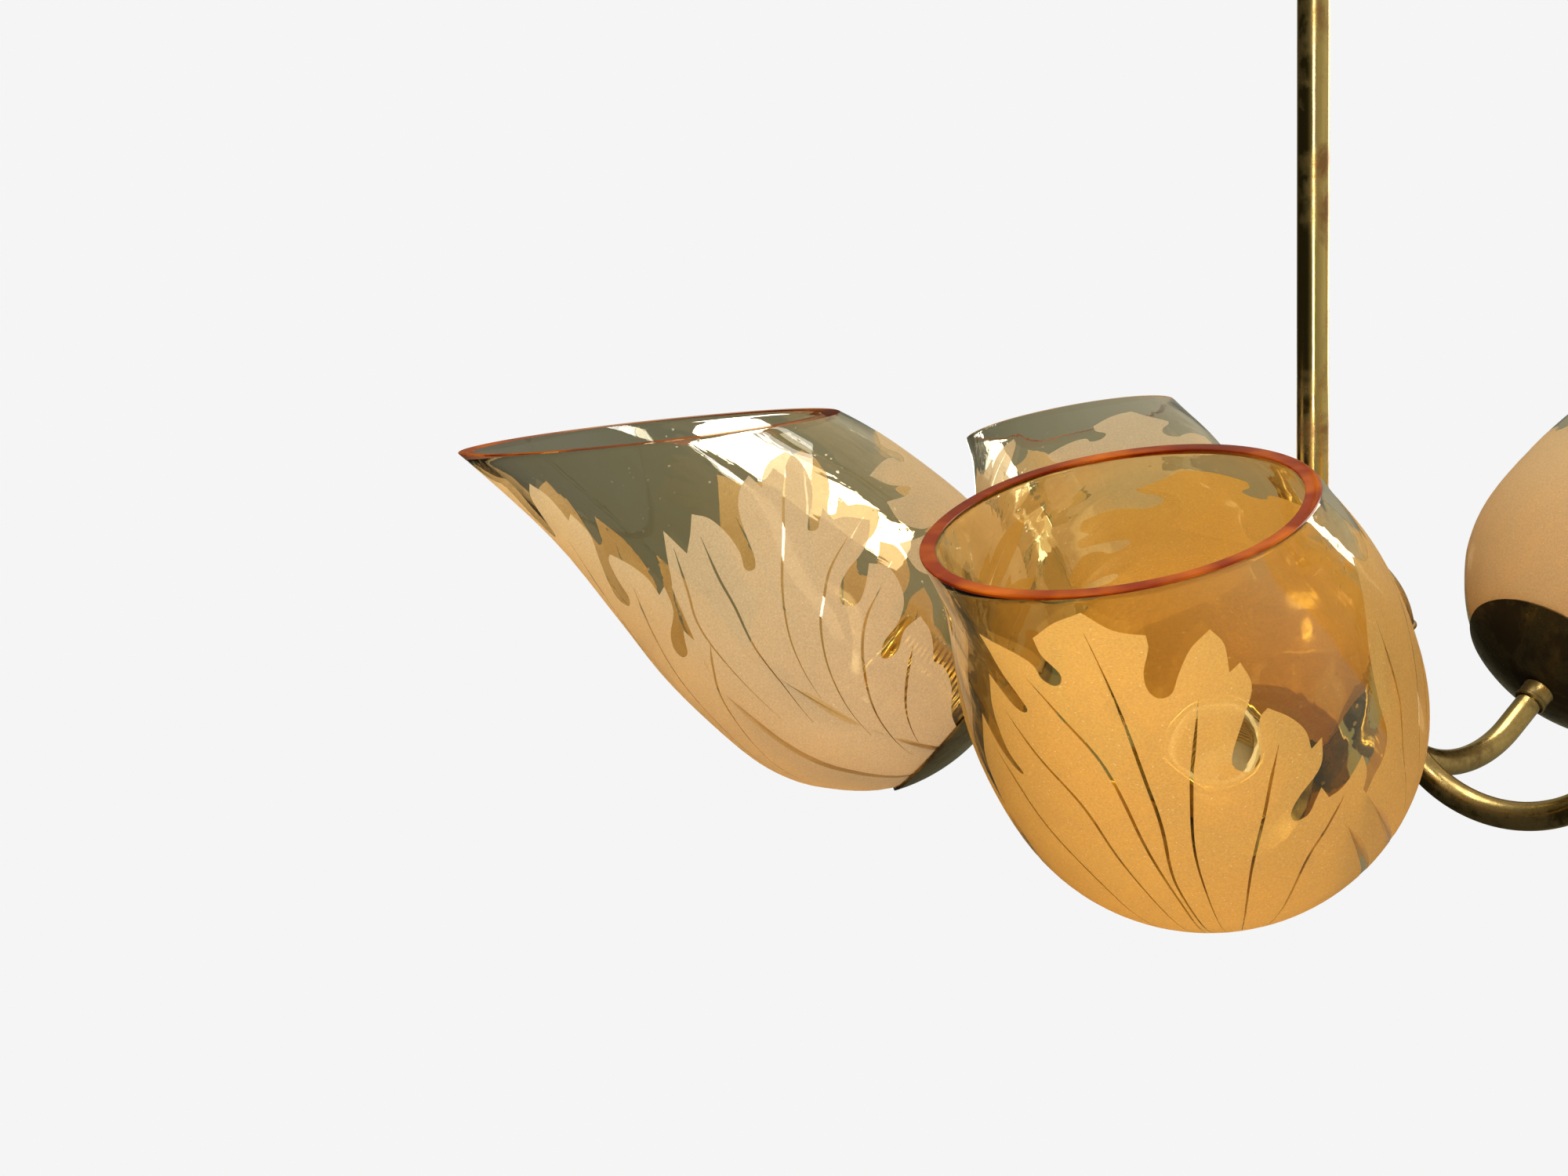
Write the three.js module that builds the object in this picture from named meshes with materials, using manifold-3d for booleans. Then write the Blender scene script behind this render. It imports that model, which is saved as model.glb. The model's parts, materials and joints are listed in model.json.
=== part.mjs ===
// Multi arm chandelier: five curved brass arms on a domed hub, each carrying a blown glass shade.
// Millimetres, +Z up. The origin is the point inside the hanger's loop where the ceiling hook bears.

import * as THREE from "three";
import { mergeVertices } from "three/addons/utils/BufferGeometryUtils.js";
import Module from "manifold-3d";

const wasm = await Module();
wasm.setup();

// ---------------------------------------------------------------- driving dimensions

const FACE_GAP = 0.3; // left between two pieces that touch

// Each arm: bearing from +X, lean of its cup's axis from upright, and how far its glass is turned (degrees).
// The arms are bent by hand and the glasses are clamped by hand, so they differ a little.
const ARMS = [
  { bearing: 36, lean: 52, glassTurn: 0 },
  { bearing: 109, lean: 55, glassTurn: -6 },
  { bearing: 180, lean: 49, glassTurn: -4 },
  { bearing: 252, lean: 54, glassTurn: 2 },
  { bearing: 324, lean: 53, glassTurn: 0 },
];

const CUP_LEVEL = -820; // height of the cup rims' centres, below the hook
const CUP_REACH = 155; // distance of the cup rims' centres from the stem's axis

const STEM_RADIUS = 6.75;
const STEM_BORE = 5.25;
const STEM_HOLE = STEM_RADIUS + FACE_GAP; // hole in a piece that the stem passes through
const STEM_TOP = -38.3;
const STEM_FOOT = CUP_LEVEL + 24;
const CABLE_RADIUS = 3;

// The cable goes into the stem at the upper slot and comes out inside the dome at the lower one.
const SLOT_WIDTH = 8;
const UPPER_SLOT = { low: -78, high: -48 };
const LOWER_SLOT = { low: CUP_LEVEL + 48, high: CUP_LEVEL + 74 };
const OUTLET_LEVEL = CUP_LEVEL + 60;
const OUTLET_BEARING = 72; // side of the stem that the lower slot is on

// Arm: a tube that leaves the hub steeply downwards and rises into its cup along the cup's axis.
const ARM_RADIUS = 6;
const ARM_BORE = 4.6;
const ARM_HOLE = ARM_RADIUS + FACE_GAP;
const ARM_BEND_RADIUS = 55;
const ARM_HUB_REACH = 29.2; // where the arm's centreline crosses the hub plate
const ARM_HUB_SLOPE = 75; // degrees below level
const ARM_THREAD = 16; // length of arm inside the dome
const ARM_END_DEPTH = 7; // the tube stops this far below the cup rim's centre

// Hub heights are above CUP_LEVEL.
const PLATE_LOW = 33.5;
const PLATE_HIGH = 37.5;
const PLATE_RADIUS = 41;
const DOME_RADIUS = 43;
const DOME_CENTRE = 33;
const DOME_EDGE = 36.5;
const DOME_WALL = 1.2;

// Raised seat round each arm on the plate, measured along the arm from the plate's underside.
const BOSS_RADIUS = 9.5;
const BOSS_LOW = -3;
const BOSS_HIGH = 7.5;

// Cup, in the lamp's own frame: z along the lamp's axis, 0 at the cup's rim.
const CUP_RIM_RADIUS = 46;
const CUP_DEPTH = 14;
const CUP_WALL = 1.2;
const CUP_SPHERE = (CUP_RIM_RADIUS ** 2 + CUP_DEPTH ** 2) / (2 * CUP_DEPTH);

// Glass shade: outer outline as [radius, height], foot hole first; the mouth is cut on a slant afterwards.
const GLASS_OUTLINE = [
  [23, -9],
  [45, 1.3],
  [64, 23.5],
  [75, 55],
  [74.4, 95],
  [65, 147],
  [56, 192],
  [54.6, 262],
];
const GLASS_WALL = 4.5;
const MOUTH_HEIGHT = 196; // height at which the mouth's plane crosses the lamp's axis
const MOUTH_SLANT = 44.6; // degrees; the outward side is the long one

// Lampholder for a large screw lamp.
const HOLDER_RADIUS = 19.5;
const HOLDER_BASE = -11.8;
const HOLDER_TOP = 45;
const SOCKET_RADIUS = 13.6;
const SOCKET_FLOOR = 12;

const HANGER_ROD = 3;
const HANGER_HALF_WIDTH = 16;
const EYE_RADIUS = 7;
const EYE_WIDTH = 6;
const EYE_FACE = HANGER_HALF_WIDTH + EYE_WIDTH / 2 + FACE_GAP;
const PIN_LEVEL = -26;
const PIN_RADIUS = 3;
const PIN_HOLE = PIN_RADIUS + FACE_GAP;
const HEAD_HALF_WIDTH = 12.4;
const HEAD_HALF_DEPTH = 9;
const HEAD_HIGH = -14;
const HEAD_LOW = -38;
const EARTH_LEVEL = -34;
const TERMINAL_DEPTH = 13;
const TERMINAL_LOW = -36;
const TERMINAL_HIGH = -18;
const TERMINAL_HALF_WIDTH = 12;

const CANOPY_NECK = -80;
const CANOPY_RIM = 28;
const CANOPY_WALL = 1.4;
const COLLAR_HEIGHT = 12;
const COLLAR_RADIUS = 10.5;
const COLLAR_TOP = CANOPY_NECK - FACE_GAP;

// ---------------------------------------------------------------- finishes

const AGED_BRASS = { color: 0x8f7437, roughness: 0.36, metalness: 1 };
const DARK_BRASS = { color: 0x5a4726, roughness: 0.42, metalness: 1 };
const BRIGHT_BRASS = { color: 0xc9a640, roughness: 0.25, metalness: 1 };
const AMBER_GLASS = { color: 0xe0a34a, roughness: 0.15, metalness: 0, transparent: true, opacity: 0.6 };
const CABLE_RUBBER = { color: 0x2a2622, roughness: 0.7, metalness: 0 };
const CERAMIC = { color: 0xe6dfcd, roughness: 0.35, metalness: 0 };
const STEEL = { color: 0xa8a8a4, roughness: 0.35, metalness: 1 };

// ---------------------------------------------------------------- shape helpers

const radians = THREE.MathUtils.degToRad;
const vector = (x, y, z) => new THREE.Vector3(x, y, z);

// Turns a profile of [radius, height] points about Z. The profile runs up the outside.
function turned(profile, sides) {
  const points = profile.map(([radius, height]) => new THREE.Vector2(radius, height));
  const geometry = new THREE.LatheGeometry(points, sides);
  geometry.rotateX(Math.PI / 2);
  return geometry;
}

// The same for a profile that closes on itself.
function turnedRing(profile, sides) {
  return turned([...profile, profile[0]], sides);
}

// A plain ring or sleeve round Z.
function sleeve(inner, outer, low, high, sides) {
  return turnedRing([[inner, low], [outer, low], [outer, high], [inner, high]], sides);
}

// Closed wall of even thickness inside an outer outline that runs upwards.
function shellProfile(outline, wall) {
  const inside = outline.map(([radius, height], i) => {
    const before = outline[Math.max(i - 1, 0)];
    const after = outline[Math.min(i + 1, outline.length - 1)];
    const run = Math.hypot(after[0] - before[0], after[1] - before[1]);
    const inward = [-(after[1] - before[1]) / run, (after[0] - before[0]) / run];
    return [radius + wall * inward[0], height + wall * inward[1]];
  });
  return [...outline, ...inside.reverse()];
}

// Points on a circle centred on the axis, from one radius out (or in) to another.
function arcOutline(circleRadius, centreHeight, fromAngle, toAngle, count) {
  const outline = [];
  for (let i = 0; i < count; i += 1) {
    const angle = fromAngle + ((toAngle - fromAngle) * i) / (count - 1);
    outline.push([circleRadius * Math.cos(angle), centreHeight + circleRadius * Math.sin(angle)]);
  }
  return outline;
}

// Circular bend in the XZ plane, as a curve.
class Bend extends THREE.Curve {
  constructor(centre, radius, fromAngle, toAngle) {
    super();
    this.centre = centre;
    this.radius = radius;
    this.fromAngle = fromAngle;
    this.toAngle = toAngle;
  }

  getPoint(t) {
    const angle = THREE.MathUtils.lerp(this.fromAngle, this.toAngle, t);
    return vector(Math.cos(angle), 0, Math.sin(angle)).multiplyScalar(this.radius).add(this.centre);
  }
}

// Curves end to end, each swept in its own number of steps.
class SteppedPath extends THREE.Curve {
  constructor(pieces) {
    super();
    this.pieces = pieces;
    this.steps = pieces.reduce((total, piece) => total + piece.steps, 0);
  }

  getPoint(t) {
    let step = t * this.steps;
    let index = 0;
    while (index < this.pieces.length - 1 && step > this.pieces[index].steps) {
      step -= this.pieces[index].steps;
      index += 1;
    }
    return this.pieces[index].curve.getPointAt(step / this.pieces[index].steps);
  }

  getPointAt(t) {
    return this.getPoint(t);
  }

  getTangentAt(t) {
    return this.getTangent(t);
  }
}

function circle(PathClass, radius, sides) {
  const path = new PathClass();
  for (let i = 0; i < sides; i += 1) {
    const angle = (2 * Math.PI * i) / sides;
    const move = i === 0 ? "moveTo" : "lineTo";
    path[move](radius * Math.cos(angle), radius * Math.sin(angle));
  }
  path.closePath();
  return path;
}

// Sweeps a round section, hollow when bore is above 0, along a stepped path.
function swept(path, radius, bore, sides) {
  const section = circle(THREE.Shape, radius, sides);
  if (bore > 0) {
    section.holes.push(circle(THREE.Path, bore, sides));
  }
  return new THREE.ExtrudeGeometry(section, { steps: path.steps, extrudePath: path });
}

// Six-sided nut round Z.
function hexNut(acrossFlats, hole, low, high) {
  const shape = circle(THREE.Shape, acrossFlats / Math.sqrt(3), 6);
  shape.holes.push(circle(THREE.Path, hole, 12));
  const geometry = new THREE.ExtrudeGeometry(shape, { depth: high - low, bevelEnabled: false });
  geometry.translate(0, 0, low);
  return geometry;
}

function box(low, high) {
  const size = high.clone().sub(low);
  const geometry = new THREE.BoxGeometry(size.x, size.y, size.z);
  const middle = low.clone().add(high).multiplyScalar(0.5);
  geometry.translate(middle.x, middle.y, middle.z);
  return geometry;
}

// Cylinder centred on a point, with its length along a direction.
function rod(centre, direction, radius, length, sides) {
  const geometry = new THREE.CylinderGeometry(radius, radius, length, sides);
  geometry.applyQuaternion(new THREE.Quaternion().setFromUnitVectors(vector(0, 1, 0), direction));
  geometry.translate(centre.x, centre.y, centre.z);
  return geometry;
}

function toSolid(geometry) {
  const bare = new THREE.BufferGeometry();
  bare.setAttribute("position", geometry.getAttribute("position"));
  bare.setIndex(geometry.index);
  const merged = mergeVertices(bare, 1e-4);
  const corners = merged.index.array;
  const faces = [];
  for (let i = 0; i < corners.length; i += 3) {
    const [a, b, c] = corners.slice(i, i + 3);
    if (a !== b && b !== c && c !== a) {
      faces.push(a, b, c);
    }
  }
  const vertProperties = new Float32Array(merged.getAttribute("position").array);
  return new wasm.Manifold(new wasm.Mesh({ numProp: 3, vertProperties, triVerts: new Uint32Array(faces) }));
}

function fromSolid(solid) {
  const mesh = solid.getMesh();
  const geometry = new THREE.BufferGeometry();
  geometry.setAttribute("position", new THREE.BufferAttribute(mesh.vertProperties, 3));
  geometry.setIndex(new THREE.BufferAttribute(mesh.triVerts, 1));
  geometry.computeVertexNormals();
  return geometry;
}

// Joins the added shapes, then cuts the others away.
function carved(added, cut) {
  let solid = toSolid(added[0]);
  for (const geometry of added.slice(1)) {
    solid = solid.add(toSolid(geometry));
  }
  for (const geometry of cut) {
    solid = solid.subtract(toSolid(geometry));
  }
  return fromSolid(solid);
}

function addPiece(parent, name, geometry, finish) {
  const mesh = new THREE.Mesh(geometry, new THREE.MeshStandardMaterial(finish));
  mesh.name = name;
  parent.add(mesh);
}

// ---------------------------------------------------------------- arm and wire

// Unit vector in the arm's plane at an angle above level.
function heading(degrees) {
  return vector(Math.cos(radians(degrees)), 0, Math.sin(radians(degrees)));
}

const HUB_HEADING = heading(-ARM_HUB_SLOPE);

// Centreline from inside the dome to the cup, in the arm's plane with z = 0 at the cup rim's centre.
// startBack and endBack lengthen or shorten its two straight ends.
function armPath(lean, startBack, endBack) {
  const rise = heading(90 - lean);
  const hub = vector(ARM_HUB_REACH, 0, PLATE_LOW);
  const cup = vector(CUP_REACH, 0, 0);
  const gap = cup.clone().sub(hub);
  const toCorner = (gap.x * rise.z - gap.z * rise.x) / (HUB_HEADING.x * rise.z - HUB_HEADING.z * rise.x);
  const corner = hub.clone().addScaledVector(HUB_HEADING, toCorner);
  const bendAngle = radians(ARM_HUB_SLOPE + 90 - lean);
  const cornerCut = ARM_BEND_RADIUS * Math.tan(bendAngle / 2);
  const bendStart = corner.clone().addScaledVector(HUB_HEADING, -cornerCut);
  const bendEnd = corner.clone().addScaledVector(rise, cornerCut);
  const centre = bendStart.clone().addScaledVector(heading(90 - ARM_HUB_SLOPE), ARM_BEND_RADIUS);
  const fromAngle = radians(270 - ARM_HUB_SLOPE);
  const start = hub.clone().addScaledVector(HUB_HEADING, -startBack);
  const end = cup.clone().addScaledVector(rise, -endBack);
  const bend = new Bend(centre, ARM_BEND_RADIUS, fromAngle, fromAngle + bendAngle);
  return new SteppedPath([
    { curve: new THREE.LineCurve3(start, bendStart), steps: 1 },
    { curve: bend, steps: 8 },
    { curve: new THREE.LineCurve3(bendEnd, end), steps: 1 },
  ]);
}

function armTube(lean) {
  return swept(armPath(lean, ARM_THREAD, ARM_END_DEPTH), ARM_RADIUS, ARM_BORE, 8);
}

// The flex inside the arm shows a little at both of its ends.
function armWire(lean) {
  const extra = 4;
  return swept(armPath(lean, ARM_THREAD + extra, -2), CABLE_RADIUS, 0, 6);
}

function armNut() {
  const geometry = hexNut(18, ARM_HOLE, 0, 4);
  geometry.rotateY(radians(ARM_HUB_SLOPE - 90));
  const seat = vector(ARM_HUB_REACH, 0, PLATE_LOW).addScaledVector(HUB_HEADING, -(BOSS_HIGH + FACE_GAP));
  geometry.translate(seat.x, seat.y, seat.z);
  return geometry;
}

// ---------------------------------------------------------------- lamp: ferrule, cup, glass, holder, ring

function ferrule() {
  const length = 8.2;
  const low = -(CUP_DEPTH + FACE_GAP + length);
  return sleeve(ARM_HOLE, 7.5, low, low + length, 12);
}

function cup() {
  const centre = CUP_SPHERE - CUP_DEPTH;
  const fromAngle = -Math.acos(ARM_HOLE / CUP_SPHERE);
  const toAngle = -Math.acos(CUP_RIM_RADIUS / CUP_SPHERE);
  return turnedRing(shellProfile(arcOutline(CUP_SPHERE, centre, fromAngle, toAngle, 4), CUP_WALL), 24);
}

// Box that takes away everything beyond the mouth's slanted plane.
function mouthCutter() {
  const size = 320;
  const geometry = box(vector(-size, -size, 0), vector(size, size, size));
  geometry.rotateY(-radians(MOUTH_SLANT));
  geometry.translate(0, 0, MOUTH_HEIGHT);
  return geometry;
}

function glassShade(turn) {
  const blown = turnedRing(shellProfile(GLASS_OUTLINE, GLASS_WALL), 20);
  const geometry = carved([blown], [mouthCutter()]);
  geometry.rotateZ(radians(turn));
  return geometry;
}

function lampholder() {
  const wiringRadius = 12;
  return turned([
    [0, 6],
    [wiringRadius, 6],
    [wiringRadius, -7],
    [ARM_HOLE, -9],
    [ARM_HOLE, HOLDER_BASE],
    [10, HOLDER_BASE],
    [HOLDER_RADIUS, -4],
    [HOLDER_RADIUS, HOLDER_TOP],
    [SOCKET_RADIUS, HOLDER_TOP],
    [SOCKET_RADIUS, SOCKET_FLOOR],
    [0, SOCKET_FLOOR],
  ], 16);
}

// Dished ring that screws down on the holder and clamps the glass's foot.
function shadeRing() {
  const hole = HOLDER_RADIUS + 0.7;
  return turnedRing([[hole, -4.7], [30, -0.1], [30, 2.4], [hole, 3.8]], 24);
}

// ---------------------------------------------------------------- hub

function hubPlate() {
  const added = [sleeve(STEM_HOLE, PLATE_RADIUS, PLATE_LOW, PLATE_HIGH, 24)];
  const cut = [];
  for (const { bearing } of ARMS) {
    const axis = HUB_HEADING.clone().negate();
    const hub = vector(ARM_HUB_REACH, 0, PLATE_LOW);
    const boss = rod(hub.clone().addScaledVector(axis, (BOSS_LOW + BOSS_HIGH) / 2), axis,
      BOSS_RADIUS, BOSS_HIGH - BOSS_LOW, 12);
    const hole = rod(hub, axis, ARM_HOLE, 40, 12);
    boss.rotateZ(radians(bearing));
    hole.rotateZ(radians(bearing));
    added.push(boss);
    cut.push(hole);
  }
  return carved(added, cut);
}

// Half-round cover with a beaded lower edge.
function hubDome() {
  const topAngle = Math.acos(STEM_HOLE / DOME_RADIUS);
  const edgeAngle = Math.asin((DOME_EDGE + 3 - DOME_CENTRE) / DOME_RADIUS);
  const round = arcOutline(DOME_RADIUS, DOME_CENTRE, edgeAngle, topAngle, 6);
  const inside = arcOutline(DOME_RADIUS - DOME_WALL, DOME_CENTRE, topAngle, edgeAngle, 5);
  const bore = DOME_RADIUS - DOME_WALL;
  const bead = [[bore, DOME_EDGE], [DOME_RADIUS, DOME_EDGE], [DOME_RADIUS + 1, DOME_EDGE + 1.2]];
  return turnedRing([...bead, ...round, ...inside], 24);
}

function finial() {
  const top = PLATE_LOW - FACE_GAP;
  return turned([
    [0, 5],
    [5.5, 6.5],
    [8.5, 11],
    [7, 16],
    [10, 20],
    [16, 28],
    [16, top],
    [STEM_HOLE, top],
    [STEM_HOLE, 23.6],
    [0, 23.6],
  ], 16);
}

function addHub(pendant) {
  const hub = new THREE.Group();
  hub.position.z = CUP_LEVEL;
  pendant.add(hub);
  const domeTop = DOME_CENTRE + DOME_RADIUS;
  addPiece(hub, "hub_dome", hubDome(), AGED_BRASS);
  addPiece(hub, "hub_plate", hubPlate(), DARK_BRASS);
  addPiece(hub, "hub_finial", finial(), AGED_BRASS);
  addPiece(hub, "dome_collar", sleeve(STEM_HOLE, COLLAR_RADIUS, domeTop, domeTop + 8, 20), AGED_BRASS);
  addPiece(hub, "stem_nut", hexNut(21, STEM_HOLE, PLATE_HIGH + FACE_GAP, PLATE_HIGH + 6), STEEL);
  const connector = box(vector(9, -12, 55), vector(21, 12, 65));
  connector.rotateZ(radians(OUTLET_BEARING));
  addPiece(hub, "hub_connector", connector, CERAMIC);
}

// ---------------------------------------------------------------- stem and its cable

function stemTube() {
  const reach = STEM_RADIUS + 2;
  const side = SLOT_WIDTH / 2;
  const upper = box(vector(-side, -reach, UPPER_SLOT.low), vector(side, 0, UPPER_SLOT.high));
  const lower = box(vector(0, -side, LOWER_SLOT.low), vector(reach, side, LOWER_SLOT.high));
  lower.rotateZ(radians(OUTLET_BEARING));
  return carved([sleeve(STEM_BORE, STEM_RADIUS, STEM_FOOT, STEM_TOP, 16)], [upper, lower]);
}

// From under the terminal block, in at the upper slot, down the stem and out at the lower slot.
function stemCable() {
  const terminalY = -(HEAD_HALF_DEPTH + FACE_GAP + TERMINAL_DEPTH / 2);
  const top = vector(0, terminalY, TERMINAL_LOW - FACE_GAP);
  const inside = vector(0, 0, UPPER_SLOT.low + 2);
  const entry = new THREE.CubicBezierCurve3(top, vector(0, terminalY, -60), vector(0, 0, -50), inside);
  const turnIn = vector(0, 0, OUTLET_LEVEL + 11);
  const corner = vector(0, 0, OUTLET_LEVEL);
  const outlet = vector(9 - FACE_GAP, 0, OUTLET_LEVEL);
  outlet.applyAxisAngle(vector(0, 0, 1), radians(OUTLET_BEARING));
  return swept(new SteppedPath([
    { curve: entry, steps: 8 },
    { curve: new THREE.LineCurve3(inside, turnIn), steps: 2 },
    { curve: new THREE.QuadraticBezierCurve3(turnIn, corner, outlet), steps: 5 },
  ]), CABLE_RADIUS, 0, 8);
}

function stemHead() {
  const block = box(vector(-HEAD_HALF_WIDTH, -HEAD_HALF_DEPTH, HEAD_LOW),
    vector(HEAD_HALF_WIDTH, HEAD_HALF_DEPTH, HEAD_HIGH));
  const spigot = rod(vector(0, 0, HEAD_LOW - 4), vector(0, 0, 1), STEM_BORE - FACE_GAP, 10, 12);
  const pinHole = rod(vector(0, 0, PIN_LEVEL), vector(1, 0, 0), PIN_HOLE, 40, 16);
  const earthHole = rod(vector(0, HEAD_HALF_DEPTH, EARTH_LEVEL), vector(0, 1, 0), 2.1, 12, 10);
  return carved([block, spigot], [pinHole, earthHole]);
}

function earthScrew() {
  const geometry = turned([[0, -5], [1.8, -5], [1.8, 0.3], [3.6, 0.3], [3.6, 2.3], [0, 2.6]], 12);
  geometry.rotateX(-Math.PI / 2);
  geometry.translate(0, HEAD_HALF_DEPTH, EARTH_LEVEL);
  return geometry;
}

function terminalBlock() {
  const front = -(HEAD_HALF_DEPTH + FACE_GAP);
  return box(vector(-TERMINAL_HALF_WIDTH, front - TERMINAL_DEPTH, TERMINAL_LOW),
    vector(TERMINAL_HALF_WIDTH, front, TERMINAL_HIGH));
}

// ---------------------------------------------------------------- hanger

function hangerBail() {
  const arcCentre = vector(0, 0, HANGER_ROD - HANGER_HALF_WIDTH);
  const leg = (side, height) => vector(side * HANGER_HALF_WIDTH, 0, height);
  const path = new SteppedPath([
    { curve: new THREE.LineCurve3(leg(1, PIN_LEVEL + 3), leg(1, arcCentre.z)), steps: 1 },
    { curve: new Bend(arcCentre, HANGER_HALF_WIDTH, 0, Math.PI), steps: 8 },
    { curve: new THREE.LineCurve3(leg(-1, arcCentre.z), leg(-1, PIN_LEVEL + 3)), steps: 1 },
  ]);
  const along = vector(1, 0, 0);
  const eyes = [1, -1].map((side) => rod(leg(side, PIN_LEVEL), along, EYE_RADIUS, EYE_WIDTH, 12));
  const pinHole = rod(leg(0, PIN_LEVEL), along, PIN_HOLE, 60, 12);
  return carved([swept(path, HANGER_ROD, 0, 8), ...eyes], [pinHole]);
}

function bailPin() {
  const headThickness = 3;
  const geometry = turned([
    [0, -EYE_FACE - headThickness],
    [5, -EYE_FACE - headThickness],
    [5, -EYE_FACE],
    [PIN_RADIUS, -EYE_FACE],
    [PIN_RADIUS, EYE_FACE + 6],
    [0, EYE_FACE + 6],
  ], 12);
  geometry.rotateY(Math.PI / 2);
  geometry.translate(0, 0, PIN_LEVEL);
  return geometry;
}

function bailNut() {
  const geometry = hexNut(10, PIN_HOLE, EYE_FACE, EYE_FACE + 4.5);
  geometry.rotateY(Math.PI / 2);
  geometry.translate(0, 0, PIN_LEVEL);
  return geometry;
}

// ---------------------------------------------------------------- canopy

function canopyBell() {
  const bell = [
    [STEM_HOLE, CANOPY_NECK],
    [14, CANOPY_NECK],
    [31, CANOPY_NECK + 11],
    [42, CANOPY_NECK + 34],
    [45, CANOPY_NECK + 64],
    [52, CANOPY_RIM - 18],
    [60, CANOPY_RIM - 3],
  ];
  const inside = bell.map(([radius, height]) => [
    Math.max(radius - CANOPY_WALL, STEM_HOLE),
    height + CANOPY_WALL,
  ]);
  const rim = [[60, CANOPY_RIM], [54, CANOPY_RIM]];
  return turnedRing([...bell, ...rim, ...inside.reverse()], 24);
}

function canopyCollar() {
  const middle = COLLAR_TOP - COLLAR_HEIGHT / 2;
  const ring = sleeve(STEM_HOLE, COLLAR_RADIUS, COLLAR_TOP - COLLAR_HEIGHT, COLLAR_TOP, 20);
  return carved([ring], [rod(vector(0, -COLLAR_RADIUS, middle), vector(0, 1, 0), 1.8, 12, 10)]);
}

function canopySetScrew() {
  const tip = -STEM_RADIUS - FACE_GAP;
  const geometry = turned([[0, -tip], [1.5, -tip], [1.5, 11], [3.2, 11], [3.2, 14.5], [0, 14.5]], 10);
  geometry.rotateX(Math.PI / 2);
  geometry.translate(0, 0, COLLAR_TOP - COLLAR_HEIGHT / 2);
  return geometry;
}

// ---------------------------------------------------------------- assembly

const chandelier = new THREE.Group();

addPiece(chandelier, "hanger_bail", hangerBail(), AGED_BRASS);
addPiece(chandelier, "bail_pin", bailPin(), STEEL);
addPiece(chandelier, "bail_nut", bailNut(), STEEL);

addPiece(chandelier, "canopy", canopyBell(), AGED_BRASS);
addPiece(chandelier, "canopy_collar", canopyCollar(), AGED_BRASS);
addPiece(chandelier, "canopy_set_screw", canopySetScrew(), BRIGHT_BRASS);

addPiece(chandelier, "stem_head", stemHead(), AGED_BRASS);
addPiece(chandelier, "earth_screw", earthScrew(), BRIGHT_BRASS);
addPiece(chandelier, "terminal_block", terminalBlock(), CERAMIC);
addPiece(chandelier, "stem_tube", stemTube(), AGED_BRASS);
addPiece(chandelier, "stem_cable", stemCable(), CABLE_RUBBER);
addHub(chandelier);

ARMS.forEach(({ bearing, lean, glassTurn }, index) => {
  const number = index + 1;
  const arm = new THREE.Group();
  arm.position.z = CUP_LEVEL;
  arm.rotation.z = radians(bearing);
  chandelier.add(arm);
  addPiece(arm, `arm_tube_${number}`, armTube(lean), AGED_BRASS);
  addPiece(arm, `arm_wire_${number}`, armWire(lean), CABLE_RUBBER);
  addPiece(arm, `arm_nut_${number}`, armNut(), STEEL);

  const lamp = new THREE.Group();
  lamp.position.x = CUP_REACH;
  lamp.rotation.y = radians(lean);
  arm.add(lamp);
  addPiece(lamp, `arm_ferrule_${number}`, ferrule(), AGED_BRASS);
  addPiece(lamp, `cup_${number}`, cup(), DARK_BRASS);
  addPiece(lamp, `glass_shade_${number}`, glassShade(glassTurn), AMBER_GLASS);
  addPiece(lamp, `lampholder_${number}`, lampholder(), BRIGHT_BRASS);
  addPiece(lamp, `shade_ring_${number}`, shadeRing(), DARK_BRASS);
});

export default chandelier;
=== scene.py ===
# Looks for the multi arm chandelier: smooth metal, blown amber glass with etched leaves, studio light.
# The frame is in metres; the shapes below are drawn in millimetres and scaled by MM.
import json
import math

import bmesh
import bpy
from mathutils import Matrix, Quaternion, Vector, geometry


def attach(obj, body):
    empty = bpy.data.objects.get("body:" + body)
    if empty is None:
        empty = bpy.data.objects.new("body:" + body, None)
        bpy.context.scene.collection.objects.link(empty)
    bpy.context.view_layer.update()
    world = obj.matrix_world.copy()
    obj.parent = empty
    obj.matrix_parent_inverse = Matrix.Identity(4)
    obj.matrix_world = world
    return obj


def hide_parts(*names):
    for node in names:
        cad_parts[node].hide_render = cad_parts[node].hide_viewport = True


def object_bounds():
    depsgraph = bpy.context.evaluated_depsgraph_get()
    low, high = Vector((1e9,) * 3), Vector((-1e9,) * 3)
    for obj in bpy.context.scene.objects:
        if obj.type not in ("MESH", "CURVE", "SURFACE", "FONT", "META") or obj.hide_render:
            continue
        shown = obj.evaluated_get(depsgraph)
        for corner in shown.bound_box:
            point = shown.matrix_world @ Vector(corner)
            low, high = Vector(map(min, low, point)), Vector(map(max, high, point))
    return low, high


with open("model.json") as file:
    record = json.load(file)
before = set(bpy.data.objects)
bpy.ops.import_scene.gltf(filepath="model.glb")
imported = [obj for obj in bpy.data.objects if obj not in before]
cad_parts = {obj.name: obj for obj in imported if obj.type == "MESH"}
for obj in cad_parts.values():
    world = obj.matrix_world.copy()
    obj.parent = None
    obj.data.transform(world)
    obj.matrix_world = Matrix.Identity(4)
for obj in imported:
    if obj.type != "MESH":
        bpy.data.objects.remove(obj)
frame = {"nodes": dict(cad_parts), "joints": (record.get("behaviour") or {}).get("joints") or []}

CAD_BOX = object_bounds()
MM = 0.001
UP = Vector((0, 0, 1))

# ---- driving dimensions, mm

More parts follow.
